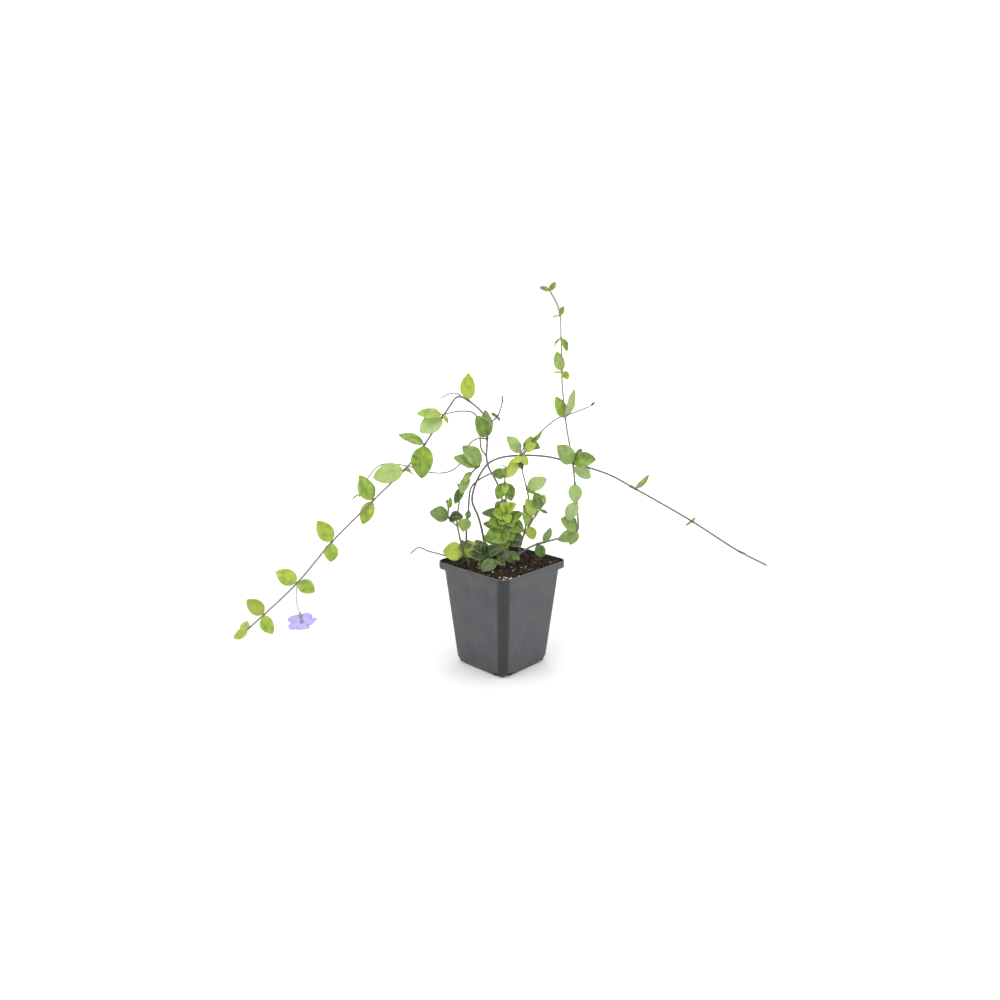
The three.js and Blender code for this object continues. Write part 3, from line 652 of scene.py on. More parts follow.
def petal_material():
    """Light blue-violet petals, whitish at the throat, with fine streaks, duller behind."""
    nodes = Nodes("petal")
    outward, behind, chance = nodes.looks()
    _, aside = nodes.spot()
    spread = {"X": nodes.times(outward, 0.12), "Y": aside, "Z": chance}
    streak = nodes.speckle(nodes.add("ShaderNodeCombineXYZ", spread).outputs[0], 28, 2)
    face = nodes.ramp(outward, [
        (0, 232, 228, 244),
        (0.22, 204, 196, 242),
        (0.6, 170, 160, 232),
        (1, 152, 142, 224),
    ])
    back = nodes.blend(0.5, face, srgb(192, 186, 226))
    colour = nodes.blend(behind, face, back)
    colour = nodes.blend(nodes.between(streak, 0.45, 0.7, 0.0, 0.45), colour, srgb(136, 126, 208))
    # Painted shade: the lobes are darkened towards their edges, where they meet one another.
    painted_edge_shade = nodes.between(nodes.math("ABSOLUTE", aside), 0.3, 0.5, 0.0, 0.6)
    colour = nodes.blend(painted_edge_shade, colour, srgb(122, 112, 186))
    nodes.bump(streak, 0.12, 0.6)
    nodes.shine_through(0.3, (0.7, 0.7, 1.0), 1.0)
    nodes.feed(nodes.shader, {"Sheen Weight": 0.15})
    return nodes.finish(colour, nodes.between(streak, 0.2, 0.8, 0.5, 0.62))


def pot_material():
    """Satin dark grey plastic: upright scuffs, a fine grain, glossier round corners darkened by painted
    shade, and a dusty rim with a painted highlight along its top edge.
    """
    nodes = Nodes("pot_plastic")
    place = nodes.place()
    gloss_and_painted_shade = nodes.looks()[0]
    grain = nodes.speckle(place, 2600, 2)
    cloud = nodes.speckle(place, 45, 4)
    scuffs = nodes.speckle(nodes.place((1, 1, 0.05)), 900, 3, 0.7)
    marks = nodes.times(nodes.between(scuffs, 0.56, 0.72), nodes.between(cloud, 0.4, 0.62))
    smears = nodes.speckle(nodes.place((1, 1, 0.25)), 160, 5, 0.65)
    height = nodes.add("ShaderNodeSeparateXYZ", {"Vector": place}).outputs["Z"]
    near_rim = nodes.between(height, (POT_HEIGHT - DUST_BAND) * MM, (POT_HEIGHT - RIM_HIGHLIGHT_BAND) * MM)
    crumbs = nodes.between(nodes.speckle(place, 1100, 4, 0.7), 0.56, 0.68)
    dust = nodes.times(near_rim, crumbs)
    colour = nodes.blend(nodes.between(cloud, 0.3, 0.7), srgb(64, 63, 70), srgb(77, 77, 80))
    colour = nodes.blend(nodes.between(smears, 0.42, 0.62, 0.0, 0.3), colour, srgb(52, 52, 57))
    # Painted shade: the round corners are darkened, standing in for the dark reflection they show.
    colour = nodes.blend(gloss_and_painted_shade, colour, srgb(36, 36, 40))
    colour = nodes.blend(nodes.times(marks, 0.25), colour, srgb(112, 112, 117))
    colour = nodes.blend(nodes.times(dust, 0.5), colour, srgb(124, 112, 100))
    # Painted highlight: the top millimetre of the rim is lightened, standing in for the light caught
    # along its edge.
    painted_rim_highlight = nodes.between(height, (POT_HEIGHT - RIM_HIGHLIGHT_BAND) * MM, (POT_HEIGHT - 0.1) * MM, 0.0, 0.35)
    colour = nodes.blend(painted_rim_highlight, colour, srgb(118, 118, 122))
    gloss = nodes.plus(nodes.between(cloud, 0.3, 0.7, 0.38, 0.48), nodes.times(dust, 0.3))
    gloss = nodes.minus(gloss, nodes.times(gloss_and_painted_shade, 0.12))
    nodes.bump(nodes.plus(grain, nodes.times(marks, -0.6)), 0.05, 0.5)
    return nodes.finish(colour, gloss)


def soil_material():
    """Moist peat: near black with brown crumbs and fibres."""
    nodes = Nodes("peat")
    brown, _, chance = nodes.looks()
    place = nodes.place()
    clods = nodes.speckle(place, 260, 6, 0.7)
    fine = nodes.speckle(place, 1500, 4, 0.7)
    level = nodes.plus(brown, nodes.times(nodes.minus(clods, 0.5), 0.6))
    level = nodes.plus(level, nodes.times(nodes.minus(fine, 0.5), 0.4))
    level = nodes.plus(level, nodes.times(chance, 0.1), limited=True)
    colour = nodes.ramp(level, [
        (0, 26, 19, 15),
        (0.3, 54, 41, 31),
        (0.6, 94, 70, 50),
        (0.85, 138, 106, 76),
        (1, 176, 146, 110),
    ])
    nodes.bump(nodes.plus(clods, fine), 0.9, 0.8)
    nodes.feed(nodes.shader, {"Specular IOR Level": 0.25})
    return nodes.finish(colour, nodes.between(fine, 0.3, 0.7, 0.75, 0.95))


def perlite_material():
    """Chalky white grains, a little stained by the peat."""
    nodes = Nodes("perlite")
    place = nodes.place()
    stain = nodes.speckle(place, 900, 4, 0.7)
    colour = nodes.ramp(stain, [
        (0.3, 236, 233, 226),
        (0.55, 214, 208, 198),
        (0.75, 150, 134, 116),
    ])
    nodes.bump(nodes.speckle(place, 2600, 3), 0.25, 0.8)
    return nodes.finish(colour, nodes.between(stain, 0.3, 0.7, 0.8, 0.95))


def stage_material():
    """A white table that glows softly far behind the pot, like a lit studio backdrop."""
    nodes = Nodes("studio_floor")
    place = nodes.place()
    colour = nodes.blend(nodes.speckle(place, 3, 2), srgb(246, 246, 246), srgb(250, 250, 250))
    split = nodes.add("ShaderNodeSeparateXYZ", {"Vector": place}).outputs
    far = nodes.math("DIVIDE", nodes.minus(split["Y"], split["X"]), math.sqrt(2))
    glow = nodes.between(far, GLOW_FROM * MM, GLOW_FULL * MM, 0.0, GLOW_STRENGTH)
    nodes.feed(nodes.shader, {"Emission Color": colour, "Emission Strength": glow})
    return nodes.finish(colour, 0.9)


class Route:
    """The smooth curve through a stem's points, read by the distance along it."""

    SEGMENT_STEPS = 24

    def __init__(self, points):
        knots = [Vector(point) for point in points]
        knots.insert(0, 2 * knots[0] - knots[1])
        knots.append(2 * knots[-1] - knots[-2])
        self.points = [knots[1].copy()]
        for near, start, end, far in zip(knots, knots[1:], knots[2:], knots[3:]):
            for step in range(1, self.SEGMENT_STEPS + 1):
                self.points.append(self.between(near, start, end, far, step / self.SEGMENT_STEPS))
        gaps = ((end - start).length for start, end in zip(self.points, self.points[1:]))
        self.reaches = [0, *itertools.accumulate(gaps)]
        self.length = self.reaches[-1]

    @staticmethod
    def between(near, start, end, far, share):
        """Centripetal Catmull-Rom."""
        gaps = [math.sqrt((b - a).length) for a, b in ((near, start), (start, end), (end, far))]
        leave = (start - near) / gaps[0] - (end - near) / (gaps[0] + gaps[1])
        leave = (leave + (end - start) / gaps[1]) * gaps[1]
        arrive = (end - start) / gaps[1] - (far - start) / (gaps[1] + gaps[2])
        arrive = (arrive + (far - end) / gaps[2]) * gaps[1]
        squared = 3 * (end - start) - 2 * leave - arrive
        cubed = 2 * (start - end) + leave + arrive
        return start + share * (leave + share * (squared + share * cubed))

    def at(self, reach):
        reach = min(self.length, max(0, reach))
        high = min(bisect.bisect_right(self.reaches, reach), len(self.reaches) - 1)
        share = (reach - self.reaches[high - 1]) / (self.reaches[high] - self.reaches[high - 1])
        return self.points[high - 1].lerp(self.points[high], share)

    def heading(self, reach, over=0.5):
        return (self.at(reach + over) - self.at(reach - over)).normalized()


def add_tube(surface, route, radius_at, look_at, step=STEM_STEP, sides=STEM_SIDES):
    """A round bar along a route, with rounded ends."""
    count = max(4, round(route.length / step))
    side = route.heading(0).orthogonal().normalized()
    rings = []
    for place in range(count + 1):
        reach = route.length * place / count
        heading = route.heading(reach)
        side = (side - side.dot(heading) * heading).normalized()
        other = heading.cross(side)
        centre, radius, look = route.at(reach), radius_at(reach), look_at(reach)
        ring = []
        for number in range(sides):
            angle = math.tau * number / sides
            outward = math.cos(angle) * side + math.sin(angle) * other
            ring.append(surface.add_point(centre + radius * outward, look))
        rings.append(ring)
    surface.add_rings(rings)


def leaf_half_width(share):
    """Ovate and pointed: how wide the blade is at a share of its own length, up to 1."""
    share = clamp(share)
    widest_at = LEAF_ROOT_POWER / (LEAF_ROOT_POWER + LEAF_TIP_POWER)
    widest = widest_at ** LEAF_ROOT_POWER * (1 - widest_at) ** LEAF_TIP_POWER
    return share ** LEAF_ROOT_POWER * (1 - share) ** LEAF_TIP_POWER / widest


def add_blade(surface, root, along, facing, steps, half_steps, shape, look):
    """A thin closed blade. shape gives, for a place along and aside, the offset and thickness."""
    across = along.cross(facing)
    over = [(place / half_steps, 0) for place in range(-half_steps, half_steps + 1)]
    below = [(aside, 1) for aside, _ in reversed(over)]
    rings = []
    for step in range(steps + 1):
        share = step / steps
        ring = []
        for aside, under in over + below:
            reach, side, rise, thickness = shape(share, aside, under)
            rise += thickness * (0.5 - under)
            point = root + reach * along + side * across + rise * facing
            ring.append(surface.add_point(point, look(share, aside, under), (share, 0.5 + aside / 2)))
        rings.append(ring)
    surface.add_rings(rings, caps=False)
    near, far = rings[0], rings[-1]
    for place in range(2 * half_steps):
        surface.faces.append((near[place], near[-1 - place], near[-2 - place], near[place + 1]))
        surface.faces.append((far[place], far[place + 1], far[-2 - place], far[-1 - place]))


def leaf_axes(aim, tilt, turn):
    aimed, tilted = math.radians(aim), math.radians(tilt)
    along = Vector((
        math.cos(aimed) * math.cos(tilted),
        -math.sin(tilted),
        math.sin(aimed) * math.cos(tilted),
    ))
    facing = (LEAF_FACING - LEAF_FACING.dot(along) * along).normalized()
    return along, Matrix.Rotation(math.radians(turn), 3, along) @ facing


def add_leaf(surface, route, stem_tone, row, chance):
    """One leaf, folded along its midrib, arched along its length and a little waved."""
    at, length, aim, tilt, *rest = row
    usual = (0, LEAF_WIDTH, stem_tone, 0)
    turn, width, tone, pale = (*rest, *usual[len(rest):])
    along, facing = leaf_axes(aim, tilt, turn)
    widest = width * length / 2
    fold = LEAF_FOLD * chance.uniform(0.7, 1.3)
    arch = LEAF_ARCH * chance.uniform(0.7, 1.4)
    waves = chance.uniform(1.5, 2.5)
    start = chance.uniform(0, math.tau)
    wave = LEAF_WAVE * length * chance.uniform(0.3, 1)
    lean = chance.uniform(-LEAF_LEAN, LEAF_LEAN)
    tone = clamp(tone + chance.uniform(-TONE_SPREAD, TONE_SPREAD))
    luck = chance.random()

    def shape(share, aside, under):
        blade_share = (share - PETIOLE_SHARE) / (1 - PETIOLE_SHARE)
        petiole = PETIOLE_HALF * (1 - PETIOLE_TAPER * share)
        half = max(petiole, widest * leaf_half_width(blade_share))
        grown = ease(0, LEAF_SET_IN, blade_share)
        lift = fold * half * math.sqrt(aside * aside + FOLD_ROUNDING) * grown
        curl = -LEAF_CURL * half * abs(aside) ** 3 * grown
        ripple = wave * grown * aside * aside * math.sin(start + waves * math.tau * share)
        rise = 4 * share * (1 - share) * arch * length + lift + curl + ripple
        thickness = mix(PETIOLE_THICKNESS, BLADE_THICKNESS, ease(-0.05, 0.1, blade_share))
        rib = RIB_RISE * (1 - share) * math.exp(-(aside * half / RIB_HALF) ** 2) * grown
        bend = lean * length * math.sin(math.pi * share)
        return share * length, aside * half + bend, rise, thickness + rib * under

    def look(share, aside, under):
        return (tone + ROOT_TONE * (1 - share), max(under, pale), luck)

    add_blade(surface, route.at(at), along, facing, LEAF_STEPS, LEAF_HALF_STEPS, shape, look)


def add_stem(surface, stem, route, chance):
    """A stem that swells and darkens where leaves stand on it."""
    joints = sorted({row[0] for row in stem.leaves})
    root, tip = (STEM_FULLNESS * thickness / 2 for thickness in stem.thick)
    offset = chance.uniform(0, 100)

    def swelling(reach):
        return sum(math.exp(-((reach - joint) / NODE_REACH) ** 2) for joint in joints)

    def radius_at(reach):
        radius = mix(root, tip, reach / route.length)
        uneven = 1 + STEM_UNEVEN * noise.noise(Vector((reach * 0.2 + offset, 0, 0)))
        end = math.sqrt(min(1, (route.length - reach + STEM_END) / (2 * STEM_END)))
        return radius * uneven * (1 + NODE_SWELL * min(1, swelling(reach))) * end

    def look_at(reach):
        woody = mix(*stem.woody, reach / route.length)
        return (woody, min(NODE_DARKEST, swelling(reach)), stem.stalk)

    add_tube(surface, route, radius_at, look_at)


def flower_point(behind):
    return FLOWER_CENTRE - behind * FLOWER_FACING


def spoke(place, count):
    """A direction across the flower's face, one of a full turn of them."""
    level = Vector((1, 0, 0))
    level = (level - level.dot(FLOWER_FACING) * FLOWER_FACING).normalized()
    return Matrix.Rotation(math.tau * place / count, 3, FLOWER_FACING) @ level


def add_calyx(surface):
    """The small green cup behind the flower, with narrow pointed sepals."""
    end = flower_point(TUBE_LENGTH + CALYX_GAP)
    route = Route([end - CALYX_LENGTH * FLOWER_FACING, end])

    def cup_radius(reach):
        return mix(CALYX_ROOT_RADIUS, CALYX_MOUTH_RADIUS, ease(0, CALYX_LENGTH, reach))

    def shape(share, aside, under):
        half = SEPAL_WIDTH / 2 * (1 - share) ** 0.7 + SEPAL_TIP_HALF
        return share * SEPAL_LENGTH, aside * half, SEPAL_RISE * share * share, SEPAL_THICKNESS

    add_tube(surface, route, cup_radius, lambda reach: CALYX_LOOK, CALYX_STEP)
    for sepal in range(SEPALS):
        outward = spoke(sepal + 0.5, SEPALS)
        spread = math.radians(SEPAL_SPREAD)
        along = math.cos(spread) * FLOWER_FACING + math.sin(spread) * outward
        facing = (outward - outward.dot(along) * along).normalized()
        root = end + 1.1 * outward - 0.7 * FLOWER_FACING
        add_blade(surface, root, along, facing, SEPAL_STEPS, SEPAL_HALF_STEPS, shape,
                  lambda *_: CALYX_LOOK)


def add_lobe(surface, lobe, chance):
    """One petal lobe: cut off aslant, swept back and a little waved."""
    start = chance.uniform(0, math.tau)
    luck = chance.random()
    lift = chance.uniform(-0.6, 0.9)

    def shape(share, aside, under):
        reach = mix(LOBE_FROM, 1, share)
        half = LOBE_WIDTH / 2 * mix(0.2, 1.06, ease(-0.25, 0.8, share))
        closing = 1 - LOBE_CLOSING * ease(0.78, 1, share)
        cut = LOBE_SLANT * aside * half * reach + LOBE_CROWN * (1 - aside * aside) * share ** 6
        ripple = LOBE_RIPPLE * share * aside * math.sin(start + 5 * share)
        back = (lift - LOBE_SWEEP) * reach ** 2 + LOBE_TROUGH * aside * aside * share
        thickness = LOBE_THICKNESS * (1 - 0.4 * abs(aside))
        return reach * LOBE_LENGTH + cut, aside * half * closing, back + ripple, thickness

    def look(share, aside, under):
        return (mix(LOBE_FROM, 1, share), under, luck)

    add_blade(surface, flower_point(LOBE_ROOT), spoke(lobe, LOBES), FLOWER_FACING, LOBE_STEPS,
              LOBE_HALF_STEPS, shape, look)


def make_flower(material):
    """Five lobes, like a pinwheel, on a narrow tube that opens at its mouth."""
    surface = Surface()
    tube = Route([flower_point(TUBE_LENGTH), flower_point(TUBE_END)])

    def tube_radius(reach):
        return mix(TUBE_RADIUS, MOUTH_RADIUS, ease(0.3, 1, reach / tube.length) ** 1.5)

    add_tube(surface, tube, tube_radius, lambda reach: TUBE_LOOK, TUBE_STEP, TUBE_SIDES)
    chance = random.Random(FLOWER_SEED)
    for lobe in range(LOBES):
        add_lobe(surface, lobe, chance)
    place_piece(surface.make("periwinkle_corolla", material, TO_POT), "petal", "flower")


def make_plant(leaf, bark):
    """The leafy stems, each in place of its construction node."""
    for number, (node, stems) in enumerate(PLANT.items()):
        chance = random.Random(PLANT_SEED + number)
        bars, blades = Surface(), Surface()
        for stem in stems:
            route = Route(stem.route)
            add_stem(bars, stem, route, chance)
            for row in stem.leaves:
                add_leaf(blades, route, stem.tone, row, chance)
        if node == FLOWERING:
            add_calyx(bars)
        place_piece(bars.make(node + "_stems", bark, TO_POT), FOLIAGE_SLOTS[node], node)
        place_piece(blades.make(node + "_leaves", leaf, TO_POT), FOLIAGE_SLOTS[node], node)


def square_ring(half, corner, height, corner_steps, side_steps, bow=0.0):
    """Points of a level square outline with round corners, anticlockwise from above."""
    arcs = []
    for quarter in range(4):
        diagonal = math.radians(45 + 90 * quarter)
        reach = (half - corner) * math.sqrt(2)
        for step in range(corner_steps + 1):
            angle = diagonal + math.radians(90 * (step / corner_steps - 0.5))
            arcs.append(Vector((
                reach * math.cos(diagonal) + corner * math.cos(angle),
                reach * math.sin(diagonal) + corner * math.sin(angle),
                height,
            )))
    points = []
    for place, point in enumerate(arcs):
        points.append(point)
        if place % (corner_steps + 1) == corner_steps:
            after = arcs[(place + 1) % len(arcs)]
            inward = -Vector((point.x + after.x, point.y + after.y, 0)).normalized()
            for step in range(1, side_steps):
                share = step / side_steps
                points.append(point.lerp(after, share) + bow * math.sin(math.pi * share) * inward)
    return points


def corner_gloss_and_painted_shade(place):
    """How glossy a point of a ring is, and how darkened by painted shade: 1 on the round corners and 0
    on the sides.
    """
    step = place % (POT_CORNER_STEPS + POT_SIDE_STEPS)
    return clamp(min(step, POT_CORNER_STEPS - step) / GLOSS_AND_SHADE_STEPS)


def pot_profile():
    """The pot's wall from the outer edge of its base, over the rim, to the floor inside: half
    the width, the corner's radius, the height and how far the sides bow in."""
    inner = RIM_HALF - WALL
    profile = [
        (BASE_HALF - 0.4, BASE_CORNER, 0, 0),
        (BASE_HALF, BASE_CORNER, 0.4, 0),
        (BODY_LOW_HALF - 0.3, BODY_LOW_CORNER, BASE_CHAMFER - 0.7, 0),
        (BODY_LOW_HALF, BODY_LOW_CORNER, BASE_CHAMFER, 0),
    ]
    for band in range(1, WALL_BANDS):
        share = band / WALL_BANDS
        profile.append((
            mix(BODY_LOW_HALF, BODY_TOP_HALF, share),
            mix(BODY_LOW_CORNER, BODY_TOP_CORNER, share),
            mix(BASE_CHAMFER, RIM_BOTTOM, share),
            WALL_BOW * math.sin(math.pi * share),
        ))
    return profile + [
        (BODY_TOP_HALF, BODY_TOP_CORNER, RIM_BOTTOM - 0.4, 0),
        (BODY_TOP_HALF + 0.3, BODY_TOP_CORNER, RIM_BOTTOM, 0),
        (RIM_HALF - 0.6, RIM_CORNER, RIM_BOTTOM, 0),
        (RIM_HALF - 0.2, RIM_CORNER, RIM_BOTTOM + 0.15, 0),
        (RIM_HALF, RIM_CORNER, RIM_BOTTOM + 0.6, 0),
        (RIM_HALF, RIM_CORNER, POT_HEIGHT - 0.6, 0),
        (RIM_HALF - 0.15, RIM_CORNER, POT_HEIGHT - 0.2, 0),
        (RIM_HALF - 0.5, RIM_CORNER, POT_HEIGHT, 0),
        (inner + 0.3, RIM_CORNER - 1, POT_HEIGHT, 0),
        (inner, RIM_CORNER - WALL, POT_HEIGHT - 0.3, 0),
        (inner, RIM_CORNER - WALL, LEDGE, 0),
        (BODY_TOP_HALF - WALL, BODY_TOP_CORNER - WALL, LEDGE - 0.5, 0),
        (BODY_LOW_HALF - WALL, BODY_LOW_CORNER - WALL, BASE_CHAMFER, 0),
        (BASE_HALF - WALL, BASE_CORNER - WALL, FLOOR, 0),
    ]


def make_cutter(name, outline, low, high):
    """A straight-sided body between two levels, to be cut out of the pot."""
    surface = Surface()
    rings = []
    for level in (low, high):
        rings.append([surface.add_point(point + Vector((0, 0, level))) for point in outline])
    surface.add_rings(rings)
    return surface.make(name, None, smooth=False)


def box_cutter(name, start, end, aside, width, height, angle):
    """A box that runs outwards along a spoke, centred on the ground plane."""
    turn = Matrix.Rotation(angle, 3, "Z")
    low, high = aside - width / 2, aside + width / 2
    corners = ((start, low), (end, low), (end, high), (start, high))
    return make_cutter(name, [turn @ Vector((x, y, 0)) for x, y in corners], -height, height)


def hole_cutter(name, radius, centre):
    outline = []
    for side in range(DRAIN_SIDES):
        angle = math.tau * side / DRAIN_SIDES
        outline.append(centre + radius * Vector((math.cos(angle), math.sin(angle), 0)))
    return make_cutter(name, outline, -FLOOR, 2 * FLOOR)


def drain_cutters():
    """Two notches and a channel at each corner, and the holes between the channels."""
    cutters = []
    corner = BODY_LOW_HALF * math.sqrt(2)
    for quarter in range(4):
        side = quarter * math.pi / 2
        diagonal = side + math.pi / 4
        for hand in (-1, 1):
            aside = hand * (NOTCH_WIDTH + NOTCH_TOOTH) / 2
            cutters.append(box_cutter("notch", NOTCH_FROM, corner, aside, NOTCH_WIDTH,
                                      NOTCH_HEIGHT, diagonal))
        cutters.append(box_cutter("channel", PAD_RADIUS, NOTCH_FROM, 0, CHANNEL_WIDTH,
                                  CHANNEL_DEPTH, diagonal))
        centre = DRAIN_FROM_MIDDLE * Vector((math.cos(side), math.sin(side), 0))
        cutters.append(hole_cutter("drain", DRAIN_RADIUS, centre))
    return cutters


def carve(piece, cutters):
    """Cuts the cutters out of the piece and clears them away."""
    for cutter in cutters:
        cut = piece.modifiers.new(cutter.name, "BOOLEAN")
        cut.operation = "DIFFERENCE"
        cut.solver = "EXACT"
        cut.object = cutter
    graph = bpy.context.evaluated_depsgraph_get()
    carved = bpy.data.meshes.new_from_object(piece.evaluated_get(graph))
    spent = [piece.data, *(cutter.data for cutter in cutters)]
    piece.modifiers.clear()
    piece.data = carved
    for mesh in spent:
        bpy.data.meshes.remove(mesh)


def make_pot(material):
    surface = Surface()
    rings = []
    for half, corner, height, bow in pot_profile():
        ring = square_ring(half, corner, height, POT_CORNER_STEPS, POT_SIDE_STEPS, bow)
        rings.append([
            surface.add_point(point, (corner_gloss_and_painted_shade(place), 0, 0)) for place, point in enumerate(ring)
        ])
    surface.add_rings(rings)
    piece = surface.make("nursery_pot", material)
    carve(piece, drain_cutters())
    piece.data.set_sharp_from_angle(angle=math.radians(SHARP_ANGLE))
    place_piece(piece, "pot", "pot")


def soil_height(x, y):
    """The peat's surface: the construction's broad lumps, with clods and crumbs on them."""
    broad = math.sin(0.19 * x + 1.3) * math.cos(0.16 * y - 0.4)
    broad += 0.6 * math.sin(0.37 * x - 0.31 * y) + 0.4 * math.cos(0.52 * y + 0.44 * x)
    place = Vector((x, y, 0))
    clods = sum(rise * noise.noise(place * fineness) for fineness, rise in SOIL_CLODS)
    return SOIL_TOP + SOIL_LUMP * broad + clods


def make_soil(material):
    inside = WALL + SOIL_GAP
    rim_half = RIM_HALF - inside
    rim_corner = RIM_CORNER - inside
    steps = (SOIL_CORNER_STEPS, SOIL_SIDE_STEPS)
    rings = [square_ring(half, corner, height, *steps) for half, corner, height in (
        (BASE_HALF - inside, BASE_CORNER - inside, FLOOR + 0.2),
        (BODY_LOW_HALF - inside, BODY_LOW_CORNER - inside, BASE_CHAMFER),
        (BODY_TOP_HALF - inside, BODY_TOP_CORNER - inside, RIM_BOTTOM),
        (BODY_TOP_HALF - inside, BODY_TOP_CORNER - inside, LEDGE + 0.1),
        (rim_half, rim_corner, LEDGE + 0.1),
    )]
    for place in range(SOIL_RING_COUNT):
        share = 1 - place / SOIL_RING_COUNT
        ring = square_ring(rim_half * share, rim_corner * share, 0, *steps)
        for point in ring:
            point.z = max(LEDGE + 0.2, soil_height(point.x, point.y))
        rings.append(ring)
    surface = Surface()
    chance = random.Random(SOIL_SEED)
    surface.add_rings([
        [surface.add_point(point, (SOIL_BROWN, 0, chance.random())) for point in ring] for ring in rings
    ])
    place_piece(surface.make("peat_block", material), "soil", "soil")


@functools.cache
def ball():
    """The corners and faces of a twenty-sided ball, one millimetre in radius."""
    golden = (1 + math.sqrt(5)) / 2
    corners = []
    for near in (-1, 1):
        for far in (-golden, golden):
            corners += [(0, near, far), (near, far, 0), (far, 0, near)]
    corners = [Vector(corner).normalized() for corner in corners]
    faces = []
    for trio in itertools.combinations(range(len(corners)), 3):
        a, b, c = (corners[place] for place in trio)
        if max((a - b).length, (b - c).length, (c - a).length) < LONGEST_BALL_EDGE:
            outward = (b - a).cross(c - a).dot(a) > 0
            faces.append(trio if outward else (trio[0], trio[2], trio[1]))
    return corners, faces


def add_chunk(surface, centre, size, chance, look):
    """An irregular lump with the given half sizes, turned at random."""
    corners, faces = ball()
    turn = Matrix.Rotation(chance.uniform(0, math.tau), 3, "Z")
    turn = turn @ Matrix.Rotation(chance.uniform(-0.5, 0.5), 3, "X")
    first = len(surface.points)
    for corner in corners:
        rough = chance.uniform(0.75, 1.2)
        local = Vector(a * b * rough for a, b in zip(corner, size))
        surface.add_point(centre + turn @ local, look)
    for face in faces:
        surface.faces.append(tuple(first + place for place in face))


def soil_spot(chance, margin):
    """A place on the peat, at least a margin inside the rim and its round corners."""
    reach = RIM_HALF - WALL - margin
    corner = RIM_CORNER - WALL
    x, y = chance.uniform(-reach, reach), chance.uniform(-reach, reach)
    aside = max(0, abs(x) - reach + corner)
    away = max(0, abs(y) - reach + corner)
    past = max(0, math.hypot(aside, away) - corner)
    if past and aside and away:
        x -= math.copysign(past * aside / math.hypot(aside, away), x)
        y -= math.copysign(past * away / math.hypot(aside, away), y)
    return Vector((x, y, soil_height(x, y)))


def add_crumb(surface, chance):
    radius = CRUMB_LEAST + CRUMB_RANGE * chance.random() ** 3
    size = [radius * chance.uniform(0.7, 1.3) for _ in range(3)]
    spot = soil_spot(chance, CRUMB_MARGIN)
    spot.z += CRUMB_LIFT * radius
    add_chunk(surface, spot, size, chance, (chance.uniform(0, 0.45), 0, chance.random()))


def add_chip(surface, chance):
    """A flat chip of bark."""
    length = chance.uniform(0.9, 2.6)
    size = [length, length * chance.uniform(0.3, 0.6), CHIP_HALF]
    spot = soil_spot(chance, GRAIN_MARGIN)
    spot.z += CRUMB_LIFT
    add_chunk(surface, spot, size, chance, (chance.uniform(0.45, 0.85), 0, chance.random()))


def add_fibre(surface, chance):
    """A bent fibre that arches over the peat."""
    start = soil_spot(chance, FIBRE_MARGIN)
    angle = chance.uniform(0, math.tau)
    length = chance.uniform(2, 5)
    points = []
    for share in (0, 0.5, 1):
        bent = angle + chance.uniform(-0.5, 0.5)
        x = start.x + share * length * math.cos(bent)
        y = start.y + share * length * math.sin(bent)
        rise = FIBRE_LIFT + FIBRE_ARCH * math.sin(math.pi * share)
        points.append((x, y, soil_height(x, y) + rise))
    look = (chance.uniform(0.5, 1), 0, 0.5)
    add_tube(surface, Route(points), lambda reach: FIBRE_RADIUS, lambda reach: look, FIBRE_STEP,
             FIBRE_SIDES)


def make_crumbs(material):
    """Loose peat crumbs, bark chips and fibres on the surface."""
    chance = random.Random(CRUMB_SEED)
    surface = Surface()
    for add, count in ((add_crumb, CRUMB_COUNT), (add_chip, CHIP_COUNT), (add_fibre, FIBRE_COUNT)):
        for _ in range(count):
            add(surface, chance)
    place_piece(surface.make("peat_crumbs", material, smooth=False), "soil")


def make_perlite(material):
    """White grains, a few larger ones of them in the photographed front corner."""
    chance = random.Random(PERLITE_SEED)
    surface = Surface()
    front = RIM_HALF - FRONT_MARGIN
    for number in range(PERLITE_COUNT):
        spot = soil_spot(chance, GRAIN_MARGIN)
        radius = chance.uniform(0.35, 0.8)
        if number < FRONT_GRAINS:
            x = front - abs(chance.gauss(0, FRONT_SPREAD))
            y = -front + abs(chance.gauss(0, FRONT_SPREAD))
            spot = Vector((x, y, soil_height(x, y)))
            radius = chance.uniform(0.8, 1.3)
        spot.z += 0.5 * radius
        size = [radius * chance.uniform(0.8, 1.2) for _ in range(3)]
        add_chunk(surface, spot, size, chance, (1, 0, chance.random()))
    place_piece(surface.make("perlite_grains", material), "soil")


def make_stage():
    """A wide pale floor that stands for the studio's white table."""
    surface = Surface()
    corners = ((-1, -1), (1, -1), (1, 1), (-1, 1))
    points = [Vector((TABLE_HALF * x, TABLE_HALF * y, -TABLE_DROP)) for x, y in corners]
    surface.faces.append(tuple(surface.add_point(point) for point in points))
    surface.make("floor", stage_material(), smooth=False)


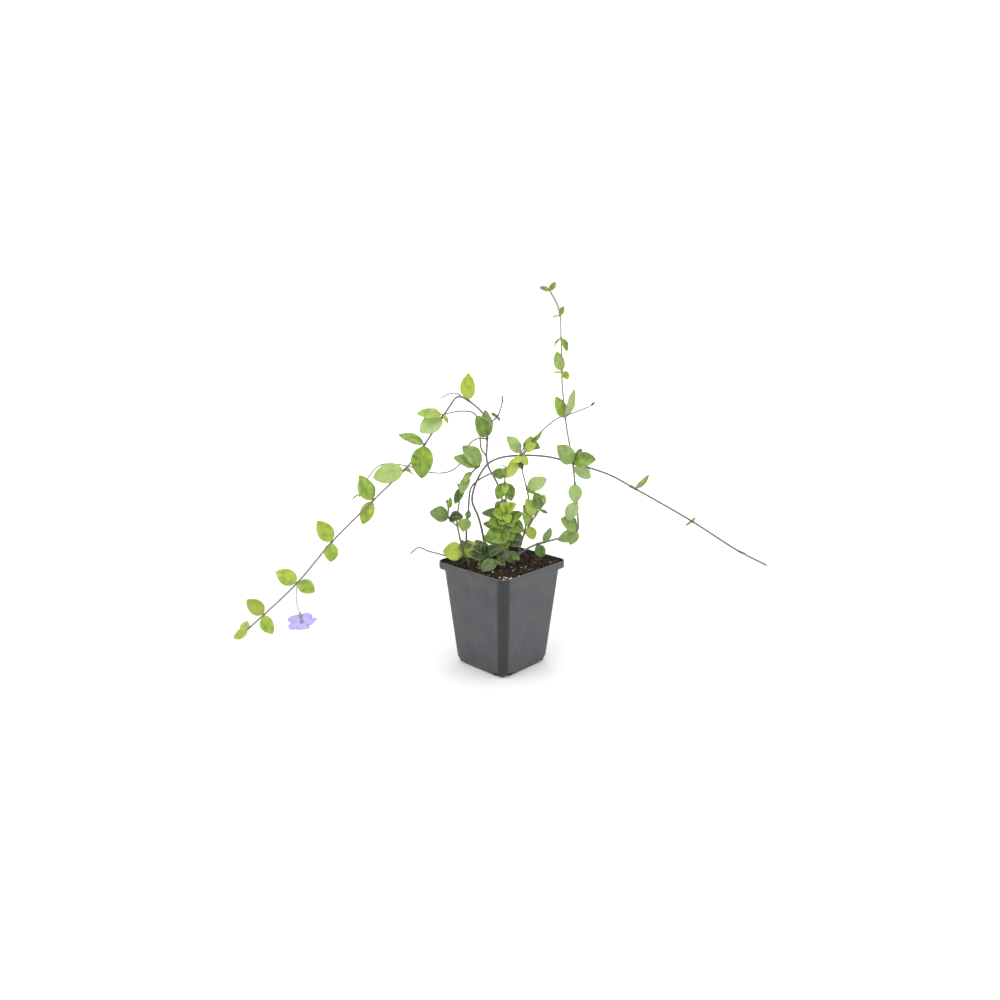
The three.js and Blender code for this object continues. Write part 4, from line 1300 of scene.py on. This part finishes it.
def make_world():
    """A white room that is dimmer on the photographer's side."""
    nodes = Nodes("studio", "worlds", "Background")
    way = nodes.add("ShaderNodeTexCoord").outputs["Generated"]
    front = TO_POT @ Vector((0, -1, 0))
    toward = nodes.add("ShaderNodeVectorMath", {0: way, 1: front}, operation="DOT_PRODUCT")
    strength = nodes.between(toward.outputs["Value"], 0.15, 0.65, ROOM_BRIGHT, ROOM_DIM)
    nodes.feed(nodes.shader, {"Color": (1, 1, 1, 1), "Strength": strength})
    bpy.context.scene.world = nodes.owner
    bpy.context.scene.view_settings.view_transform = "Standard"


def set_up(name, data, azimuth, elevation, distance, target):
    """Places a lamp or the camera as seen from the front, facing its target."""
    turn, rise = math.radians(azimuth), math.radians(elevation)
    level = Vector((math.sin(turn), -math.cos(turn), 0))
    toward = math.cos(rise) * level + Vector((0, 0, math.sin(rise)))
    holder = bpy.data.objects.new(name, data)
    holder.location = MM * (TO_POT @ (target + distance * toward))
    holder.rotation_euler = (TO_POT @ toward).to_track_quat("Z", "Y").to_euler()
    bpy.context.scene.collection.objects.link(holder)
    return holder


def add_light(name, size, power, azimuth, elevation):
    """A soft lamp, with its size in metres and its power in watts."""
    lamp = bpy.data.lights.new(name, "AREA")
    lamp.shape = "SQUARE"
    lamp.size = size
    lamp.energy = power
    set_up(name, lamp, azimuth, elevation, LAMP_DISTANCE, LAMP_TARGET)


def make_camera():
    lens = bpy.data.cameras.new("camera")
    lens.sensor_width = SENSOR
    lens.lens = FOCAL_PIXELS / PHOTO_SIZE * SENSOR
    lens.shift_y = (AXIS_ROW - PHOTO_SIZE / 2) / PHOTO_SIZE
    camera = set_up("camera", lens, 0, CAMERA_ELEVATION, CAMERA_DISTANCE, CAMERA_TARGET)
    bpy.context.scene.camera = camera


make_camera()
make_stage()
make_world()
add_light("key", size=1.2, power=9, azimuth=-40, elevation=50)
add_light("fill", size=1.5, power=7, azimuth=55, elevation=35)
add_light("top", size=1.2, power=6, azimuth=160, elevation=70)

leaf_green = leaf_material()
bark = stem_material()
peat = soil_material()
make_pot(pot_material())
make_soil(peat)
make_crumbs(peat)
make_perlite(perlite_material())
make_plant(leaf_green, bark)
make_flower(petal_material())
